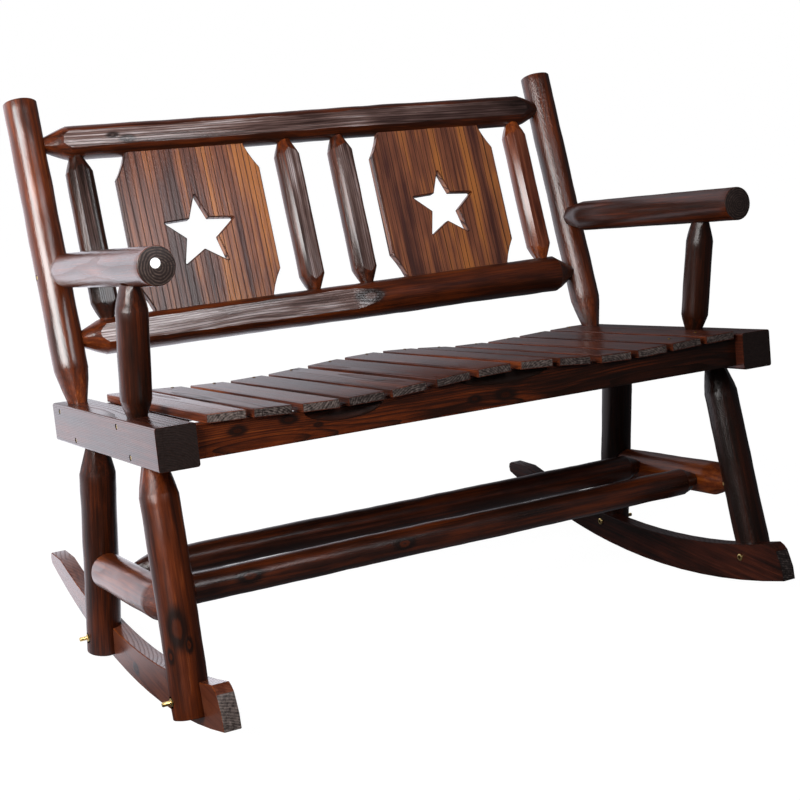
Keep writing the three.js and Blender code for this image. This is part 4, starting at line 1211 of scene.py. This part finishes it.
class BENCH_OT_side_rails(bpy.types.Operator):
    """Model the two squared side rails"""

    bl_idname = "bench.side_rails"
    bl_label = "Side Rails"

    def execute(self, context):
        b = boards()
        size = (b.rail_thickness, b.rail_height, b.rail_length)
        for number, (side, sign) in enumerate(SIDES, 21):
            piece = block(size, (0, 0, 0), worn_board(), bare_edge(), dark_end())
            wear_edges(piece, b.rail_rounding, runs(2, HAIR), material=0, segments=4)
            give_faces(piece, 2, lambda f: abs(f.normal.z) > SQUARE)
            wear_edges(piece, b.worn_edge / 2, lambda e: True)
            with editing(piece):
                cut_rings(piece, 2, b.rail_length / 2, RAIL_RINGS)
            roughen(piece, *BOARD_WEAR, RAIL_WEAR)
            middle = Vector((sign * side_x(), 0, b.rail_height / 2))
            matrix = seat_frame() @ frame_along(middle, FRONT, UP)
            place_mesh(piece, matrix)
            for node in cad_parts:
                if node.startswith("rail_screw_" + side):
                    carve(piece, bore_over(node, b.screw_bore, sign, BORE_UNDER))
            set_board(piece, "side_rail_" + side, number, matrix, RAIL_PITH)
        return {"FINISHED"}


def slats():
    """Each slat's node with its directions across and up in the level seat, and its lower left edge."""
    to_seat = seat_frame().inverted()
    for node in sorted(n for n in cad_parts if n.startswith("seat_slat_")):
        corners = [to_seat @ v.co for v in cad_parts[node].data.vertices]
        low_left = min(corners, key=lambda p: p.x + p.z)
        low_right = max(corners, key=lambda p: p.x - p.z)
        across = Vector((low_right.x - low_left.x, 0, low_right.z - low_left.z)).normalized()
        up = Vector((-across.z, 0, across.x))
        middle = (low_left + low_right) / 2
        left = Vector((middle.x, 0, middle.z)) - across * boards().slat_width / 2
        yield node, across, up, left


class BENCH_OT_slats(bpy.types.Operator):
    """Model one seat slat and copy it to every place along the wave"""

    bl_idname = "bench.slats"
    bl_label = "Seat Slats"

    def execute(self, context):
        b = boards()
        size = (b.slat_width, b.slat_thickness, b.slat_length)
        first = block(size, (0, 0, 0), worn_board(), bare_edge(), silver_end())
        give_faces(first, 2, lambda f: abs(f.normal.z) > SQUARE)
        give_faces(first, 1, lambda f: abs(f.normal.x) > SQUARE)
        wear_edges(first, b.worn_edge, lambda e: True, material=0)
        with editing(first):
            cut_rings(first, 2, b.slat_length / 2, SLAT_RINGS)
            cut_rings(first, 0, b.slat_width / 2, SLAT_ROWS)
        for i, (node, across, up, left) in enumerate(slats()):
            middle = left + across * b.slat_width / 2 + up * b.slat_thickness / 2
            middle.y = b.slat_setback + b.slat_length / 2 - b.rail_length / 2
            matrix = seat_frame() @ frame_along(middle, FRONT, up)
            piece = copied(first)
            place_mesh(piece, matrix)
            roughen(piece, *BOARD_WEAR, SLAT_WEAR)
            pith = [places[i % len(places)] for places in SLAT_PITHS]
            set_board(piece, node, 24 + i, matrix, pith)
        bpy.data.objects.remove(first)
        return {"FINISHED"}


class BENCH_OT_bearers(bpy.types.Operator):
    """Model the two cross bearers under the slats"""

    bl_idname = "bench.bearers"
    bl_label = "Bearers"

    def execute(self, context):
        for number, node in enumerate(("front_bearer", "rear_bearer"), BEARER_NUMBER):
            piece = copy_of(node, bearer_board(), bare_edge())
            low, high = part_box(node)
            if node == "front_bearer":
                self.wane(piece, low.x)
            half = (high.x - low.x) / 2
            wear_edges(piece, boards().worn_edge, lambda e: e.calc_length() > half, material=0)
            middle = seat_frame().inverted() @ ((low + high) / 2)
            place = Vector((low.x, middle.y, middle.z))
            matrix = seat_frame() @ frame_along(place, RIGHT, UP)
            set_board(piece, node, number, matrix, [v * MM for v in BEARER_PITH])
        return {"FINISHED"}

    def wane(self, piece, start):
        """Hollows the board's upper front edge where its bark was, their faces painted black as shade."""
        to_seat = seat_frame().inverted()
        corners = [to_seat @ v.co for v in piece.data.vertices]
        front = min(p.y for p in corners)
        for along, half, deep in WANES:
            x = start + along * MM
            top = max(p.z for p in corners if abs(p.x - x) < half * MM)
            bpy.ops.object.select_all(action="DESELECT")
            bpy.ops.mesh.primitive_uv_sphere_add(segments=32, ring_count=16, radius=1)
            cutter = started(char_and_recess_shade())
            size = Matrix.Diagonal((half * MM, WANE_INWARDS, deep * MM, 1))
            place_mesh(cutter, seat_frame() @ (Matrix.Translation((x, front, top)) @ size))
            carve(piece, cutter)


class BENCH_OT_panels(bpy.types.Operator):
    """Model the two star panels"""

    bl_idname = "bench.star_panels"
    bl_label = "Star Panels"

    def execute(self, context):
        for number, (side, sign) in enumerate(SIDES, 42):
            node = "star_panel_" + side
            piece = copy_of(node, flamed_panel(), char_and_recess_shade())
            low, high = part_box(node)
            wear_edges(piece, boards().worn_edge * PANEL_WEAR, lambda e: True)
            matrix = seat_frame() @ frame_along(on_back((low.x + high.x) / 2, 0), POST_UP, POST_OUT)
            pith = (PANEL_PITH[0] * sign, PANEL_PITH[1])
            set_board(piece, node, number, matrix, pith, way=0)
        return {"FINISHED"}


class BENCH_OT_rockers(bpy.types.Operator):
    """Model the two curved rockers"""

    bl_idname = "bench.rockers"
    bl_label = "Rockers"

    def execute(self, context):
        for number, (side, _) in enumerate(SIDES, 44):
            node = "rocker_" + side
            piece = copy_of(node, worn_board(), bare_edge(), silver_end())
            low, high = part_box(node)

            def outline(edge):
                return any(abs(face.normal.x) > SQUARE for face in edge.link_faces)

            wear_edges(piece, boards().worn_edge, outline)
            nose = low.y + NOSE_LENGTH
            give_faces(piece, 2, lambda f: f.normal.y < -NOSE_STEEP and f.center.y < nose)
            matrix = frame_along((low + high) / 2, FRONT, UP)
            set_board(piece, node, number, matrix, ROCKER_PITH)
        return {"FINISHED"}


# Brass hardware. Places along a screw or bolt and radii are in millimetres

SCREW_HEAD = 4  # radius of the head that the rings are given for
SCREW_RINGS = ((-1.8, 1.6), (-1.72, 2.4), (-1.45, 3.1), (-0.8, 3.7), (0, 3.95), (1.4, 3.95), (3.2, 2.2))
SCREW_CORE = 2.2
SCREW_POINT = (4, 0.4)  # length and end radius of the point
CROSS_LONG, CROSS_WIDE, CROSS_DEEP, CROSS_MIDDLE = 4.2, 0.8, 2.4, -1.4
RAIL_SCREW = (4, 46)  # radius of the head and length
PIN_SCREW = (3.6, 24)
SLAT_SCREW = (3.3, 12)
PIN_TURN = 30 * DEGREE  # of the stretcher's pin screw, behind straight across the bench
SLAT_SCREW_DEEP = 0.35 * MM  # head's rim under the slat's surface
REAR_SCREW = (0.67, 11)  # share of the slat's width, and ahead of its rear end
FRONT_SCREW = (0.6, 55, 18)  # the same behind its front end, and how much further on the last slat
FRONT_SCREWED = 2  # the last slats that have a front screw too
BOLT_HEAD = ((0, 5.2), (0.35, 6.1), (1, 6.45), (2.3, 6.45))
BOLT_RADIUS, BOLT_CORE = 3.7, 3.25
BOLT_NECK = 2.4  # where the head ends
THREAD_LONG, THREAD_PITCH, THREAD_RISE = 21, 1.25, 0.6
THREAD_START = 1  # from the end of the plain shank to the first groove
THREAD_STOP = 1.6  # ahead of the bolt's end
BOLT_END = ((0.7, 3.4), (0, 2.6))
HEX_SIDES = 6
SOCKET_RADIUS, SOCKET_DEPTH = 3.4, 3.6
NUT_RADIUS, NUT_HOLE, NUT_EDGE = 7.2, 3.8, 0.6
DOT_RADIUS = 7.6 * MM
DOT_EDGE = 0.2 * MM
DOT_THICK = 0.3 * MM
DOT_LEFT = 1.5 * MM  # of the white dot, from the middle of the arm's end
DOT_RAISED = 4 * MM


def turned(rings, sides, material):
    """Models a round piece along Z from rings, each a place along it and a radius."""
    bpy.ops.object.select_all(action="DESELECT")
    bpy.ops.mesh.primitive_circle_add(
        vertices=sides, radius=rings[0][1], fill_type="NGON", location=(0, 0, rings[0][0])
    )
    piece = started(material)
    bpy.ops.object.transform_apply(location=True, rotation=False, scale=False)
    with editing(piece):
        bpy.ops.mesh.select_all(action="SELECT")
        for (along, wide), (before, narrow) in zip(rings[1:], rings):
            bpy.ops.mesh.extrude_region_move(TRANSFORM_OT_translate={"value": (0, 0, along - before)})
            bpy.ops.transform.resize(value=(wide / narrow, wide / narrow, 1), center_override=(0, 0, along))
        bpy.ops.mesh.select_all(action="SELECT")
        bpy.ops.mesh.normals_make_consistent(inside=False)
    return piece


def make_screw(head, long, material):
    """Models a screw with a domed head and a cross in it. Its Z runs inwards from the head's rim."""
    share = head / SCREW_HEAD
    point, tip = SCREW_POINT
    rings = [(along * share * MM, radius * share * MM) for along, radius in SCREW_RINGS]
    rings += [((long - point) * MM, SCREW_CORE * share * MM), (long * MM, tip * share * MM)]
    screw = turned(rings, BORE_SIDES, material)
    for wide, deep in ((CROSS_LONG, CROSS_WIDE), (CROSS_WIDE, CROSS_LONG)):
        slot = Vector((wide, deep, CROSS_DEEP)) * share * MM
        # The cross takes the dark brass as painted shade in its recess
        carve(screw, block(slot, Vector((0, 0, CROSS_MIDDLE * share * MM)), tarnished_brass()))
    return screw


def copy_to(first, matrix, name, node=None):
    """Puts a copy of a finished piece at a place."""
    piece = copied(first)
    place_mesh(piece, matrix)
    finish_piece(piece, name, node)


class BENCH_OT_hardware(bpy.types.Operator):
    """Model the screws, bolts and nuts, and the plain white dot on the left arm"""

    bl_idname = "bench.hardware"
    bl_label = "Brass Hardware"

    def execute(self, context):
        self.copies(make_screw(*RAIL_SCREW, brass()), "screw")
        self.pin()
        self.copies(self.bolt(), "bolt", True)
        self.copies(self.nut(), "nut", True)
        self.slat_screws()
        self.dot()
        return {"FINISHED"}

    def copies(self, first, kind, from_inside=False):
        """Copies a fastener to each node of its kind, at the node's outer or inner end with Z along it."""
        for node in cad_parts:
            if kind in node:
                sign = -1 if "left" in node else 1
                low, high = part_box(node)
                place = (low + high) / 2
                place.x = high.x if (sign > 0) != from_inside else low.x
                inwards = Vector((-sign, 0, 0))
                matrix = frame_along(place, -inwards if from_inside else inwards, UP)
                copy_to(first, matrix, node + "_finished", node)
        bpy.data.objects.remove(first)

    def pin(self):
        """One more screw pins the right side stretcher through the front leg, from its inner rear side."""
        top, down = leg_line(1, "front")
        inwards = Vector((math.cos(PIN_TURN), -math.sin(PIN_TURN), 0))
        place = top + down * logs().stretcher_drop - inwards * logs().leg_radius
        first = make_screw(*PIN_SCREW, brass())
        copy_to(first, seat_frame() @ frame_along(place, inwards, UP), "stretcher_pin_screw")
        bpy.data.objects.remove(first)

    def bolt(self):
        """A bolt with a low round head, a six-sided socket and a thread."""
        low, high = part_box("front_bolt_left")
        long = (high.x - low.x) / MM
        rings = [*BOLT_HEAD, (BOLT_NECK, BOLT_RADIUS), (long - THREAD_LONG - THREAD_START, BOLT_RADIUS)]
        along = long - THREAD_LONG
        while along < long - THREAD_STOP:
            rings += [(along, BOLT_CORE), (along + THREAD_RISE, BOLT_RADIUS)]
            along += THREAD_PITCH
        rings += [(long - short, radius) for short, radius in BOLT_END]
        first = turned([(a * MM, r * MM) for a, r in rings], BORE_SIDES, brass())
        # The socket takes the dark brass as painted shade in its recess
        carve(first, rod(HEX_SIDES, SOCKET_RADIUS * MM, SOCKET_DEPTH * MM, tarnished_brass()))
        return first

    def nut(self):
        """A six-sided nut with rounded edges and a hole."""
        low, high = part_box("front_nut_left")
        thick = high.x - low.x
        first = rod(HEX_SIDES, NUT_RADIUS * MM, thick, brass())
        with editing(first):
            bpy.ops.mesh.select_all(action="SELECT")
            bpy.ops.mesh.bevel(offset=NUT_EDGE * MM, segments=2)
        place_mesh(first, Matrix.Translation((0, 0, thick / 2)))
        carve(first, rod(BORE_SIDES, NUT_HOLE * MM, 3 * thick, brass()))
        return first

    def slat_screws(self):
        """Small dark brass screws in the slats, one near each rear end and two more at the right."""
        b = boards()
        first = make_screw(*SLAT_SCREW, tarnished_brass())
        lies = list(slats())
        for i, (_, across, up, left) in enumerate(lies):
            spots = [(REAR_SCREW[0], b.slat_length - REAR_SCREW[1] * MM)]
            late = i - len(lies) + FRONT_SCREWED
            if late >= 0:
                spots.append((FRONT_SCREW[0], (FRONT_SCREW[1] + FRONT_SCREW[2] * late) * MM))
            for j, (share, back) in enumerate(spots):
                place = left + across * b.slat_width * share + up * (b.slat_thickness - SLAT_SCREW_DEEP)
                place.y = b.slat_setback - b.rail_length / 2 + back
                matrix = seat_frame() @ frame_along(place, -up, REAR)
                copy_to(first, matrix, "slat_screw_%02d_%d" % (i + 1, j + 1))
        bpy.data.objects.remove(first)

    def dot(self):
        """A plain white paper dot on the left arm's end."""
        s = logs()
        rings = [(0, DOT_RADIUS - DOT_EDGE), (DOT_THICK, DOT_RADIUS)]
        dot = turned(rings, 2 * BORE_SIDES, made_material("white_coated_paper", paper))
        front = s.arm_setback - boards().rail_length / 2 - DOT_THICK - HAIR
        place = Vector((s.arm_inset - side_x() - DOT_LEFT, front, s.arm_height + DOT_RAISED))
        place_mesh(dot, seat_frame() @ frame_along(place, REAR, UP))
        finish_piece(dot, "arm_left_white_dot")


# Stage: camera, lights, floor and the white room

CAMERA_PLACE = Vector((-1.2149, -2.22107, 1.04881))
CAMERA_YAW = 28.6306 * DEGREE  # to the right of straight ahead
CAMERA_PITCH = -14.4703 * DEGREE
CAMERA_ROLL = -1.6756 * DEGREE
CAMERA_LENS = 65.191
SENSOR = 36

BACKDROP_COLOUR = (0.92, 0.91, 1, 1)
BACKDROP_SIDE = (-0.5, 0.866, 0)  # where the backdrop is brightest
BACKDROP_DIM = 0.08
BACKDROP_BRIGHT = 1.6
BACKDROP_SPAN = (0.3, 1.0)  # from where it starts to brighten to where it is brightest

FLOOR_PAINT = (0.5, 0.5, 0.5, 1)
FLOOR_WHITE = 1.25  # strength of its own white, and its share in what the camera sees
FLOOR_SHARE = 0.78
FLOOR_NEAR = 0.45  # metres from the bench's middle within which the floor's painted glow fades towards that middle

# Name, place, target, width and height, spread in degrees and colour of each lamp
LIGHTS = (
    ("key_light", (-1.95, -0.8, 1.5), (-0.5, 0.2, 0.95), (1.6, 1.2), 85, (1, 0.99, 0.98)),
    ("front_light", (0, -1.65, 1.85), (-0.35, 0.2, 0.7), (1.3, 0.7), 62, (0.97, 0.97, 1)),
)


def backdrop(tree, place, near):
    """Brightness of the backdrop in a direction, or of the floor's painted glow at a place that is no nearer
    to the bench's middle than a given distance."""
    reach = add(tree, "VectorMath", "DOT_PRODUCT", {0: place, 1: BACKDROP_SIDE}, "Value")
    far = add(tree, "VectorMath", "LENGTH", {0: place}, "Value")
    scale = add(tree, "Math", "MAXIMUM", {0: far, 1: near})
    share = add(tree, "Math", "DIVIDE", {0: reach, 1: scale})
    dim, bright = BACKDROP_SPAN
    fall = {"From Min": dim, "From Max": bright, "To Min": BACKDROP_DIM, "To Max": BACKDROP_BRIGHT}
    return add(tree, "MapRange", SMOOTH, {"Value": share, **fall})


def floor_paint_and_glow(tree):
    """Matt white studio paint: an even white with the bench's soft shadow in it, and a painted glow that
    only the oil's reflections see.
    """
    path = add(tree, "LightPath").node.outputs
    # Most of what the camera sees is the floor's own even white, the rest keeps the bench's shadow
    paint = add(tree, "BsdfDiffuse", {}, {"Color": FLOOR_PAINT})
    white = add(tree, "Emission", {}, {"Strength": FLOOR_WHITE})
    share = add(tree, "Math", "MULTIPLY", {0: path["Is Camera Ray"], 1: FLOOR_SHARE})
    seen = add(tree, "MixShader", {}, {0: share, 1: paint, 2: white})
    # Mirrored in the oil it shows a painted glow, bright behind the bench and to its left, dim in front and
    # near it; no lamp lights it there
    bright = backdrop(tree, add(tree, "TexCoord", {}, {}, "Object"), FLOOR_NEAR)
    glow = add(tree, "Emission", {}, {"Color": BACKDROP_COLOUR, "Strength": bright})
    return add(tree, "MixShader", {}, {0: path["Is Glossy Ray"], 1: seen, 2: glow})


class BENCH_OT_stage(bpy.types.Operator):
    """Set up the camera, the lights, the floor and the white room"""

    bl_idname = "bench.stage"
    bl_label = "Stage"

    def execute(self, context):
        stage = context.scene.bench_stage
        self.camera(context)
        self.floor(stage)
        self.lights({"key_light": stage.key_power, "front_light": stage.front_power})
        self.room(context, stage)
        return {"FINISHED"}

    def camera(self, context):
        """The photo's camera, found from the bench's edges and corners in it."""
        bpy.ops.object.camera_add()
        camera = bpy.context.object
        yaw = Matrix.Rotation(-CAMERA_YAW, 4, "Z")
        pitch = Matrix.Rotation(math.pi / 2 + CAMERA_PITCH, 4, "X")
        turn = yaw @ pitch @ Matrix.Rotation(CAMERA_ROLL, 4, "Z")
        camera.matrix_world = Matrix.Translation(CAMERA_PLACE) @ turn
        camera.data.sensor_width = SENSOR
        camera.data.lens = CAMERA_LENS
        context.scene.camera = camera

    def floor(self, stage):
        """A wide plain floor."""
        bpy.ops.object.select_all(action="DESELECT")
        bpy.ops.mesh.primitive_plane_add(size=stage.floor_size)
        floor = started(made_material("white_painted_floor", floor_paint_and_glow))
        floor.name = "floor"

    def lights(self, powers):
        """Two soft lamps ahead of the bench."""
        for name, place, target, size, spread, colour in LIGHTS:
            bpy.ops.object.light_add(type="AREA")
            lamp = bpy.context.object
            lamp.name = name
            aim = (Vector(target) - Vector(place)).to_track_quat("-Z", "Y").to_matrix().to_4x4()
            lamp.matrix_world = Matrix.Translation(place) @ aim
            lamp.data.shape = "RECTANGLE"
            lamp.data.size, lamp.data.size_y = size
            lamp.data.energy = powers[name]
            lamp.data.spread = spread * DEGREE
            lamp.data.color = colour
            lamp.visible_camera = False

    def room(self, context, stage):
        """White where the camera looks, and the backdrop and a dim room for all other rays."""
        world = bpy.data.worlds.new("white_room")
        world.use_nodes = True
        tree = world.node_tree
        tree.nodes.clear()
        path = add(tree, "LightPath").node.outputs
        # Mirrored rays see the white backdrop behind the bench, brightest to its left, and a dim room
        bright = backdrop(tree, add(tree, "TexCoord", {}, {}, "Generated"), near=1.0)
        strength = add(tree, "Mix", {}, {0: path["Is Glossy Ray"], 2: stage.room, 3: bright})
        dim = add(tree, "Background", {}, {"Color": BACKDROP_COLOUR, "Strength": strength})
        white = add(tree, "Background", {}, {"Color": (1, 1, 1, 1), "Strength": 1.0})
        seen = {0: path["Is Camera Ray"], 1: path["Is Transmission Ray"]}
        clear = add(tree, "Math", "MAXIMUM", seen)
        light = add(tree, "MixShader", {}, {0: clear, 1: dim, 2: white})
        add(tree, "OutputWorld", {}, {"Surface": light})
        context.scene.world = world
        context.scene.view_settings.view_transform = "Standard"


OPERATORS = (
    BENCH_OT_stage,
    BENCH_OT_posts,
    BENCH_OT_back_rails,
    BENCH_OT_spindles,
    BENCH_OT_panels,
    BENCH_OT_arms,
    BENCH_OT_supports,
    BENCH_OT_side_rails,
    BENCH_OT_bearers,
    BENCH_OT_slats,
    BENCH_OT_legs,
    BENCH_OT_rockers,
    BENCH_OT_stretchers,
    BENCH_OT_hardware,
)


class BENCH_PT_panel(bpy.types.Panel):
    """Lists the bench's operators and settings"""

    bl_idname = "BENCH_PT_panel"
    bl_label = "Log Rocking Bench"
    bl_space_type = "VIEW_3D"
    bl_region_type = "UI"
    bl_category = "Bench"

    def draw(self, context):
        for operator in OPERATORS:
            self.layout.operator(operator.bl_idname)
        for group in (context.scene.bench_finishes, context.scene.bench_stage):
            for name in group.bl_rna.properties.keys():
                if name not in ("rna_type", "name"):
                    self.layout.prop(group, name)


GROUPS = {
    "bench_logs": BenchLogs,
    "bench_boards": BenchBoards,
    "bench_finishes": BenchFinishes,
    "bench_stage": BenchStage,
}


def register():
    for one in (*GROUPS.values(), *OPERATORS, BENCH_PT_panel):
        bpy.utils.register_class(one)
    for name, group in GROUPS.items():
        setattr(bpy.types.Scene, name, PointerProperty(type=group))


def unregister():
    for name in GROUPS:
        delattr(bpy.types.Scene, name)
    for one in reversed((*GROUPS.values(), *OPERATORS, BENCH_PT_panel)):
        bpy.utils.unregister_class(one)


def main():
    register()
    for operator in OPERATORS:
        group, name = operator.bl_idname.split(".")
        getattr(getattr(bpy.ops, group), name)()


if __name__ == "__main__":
    main()
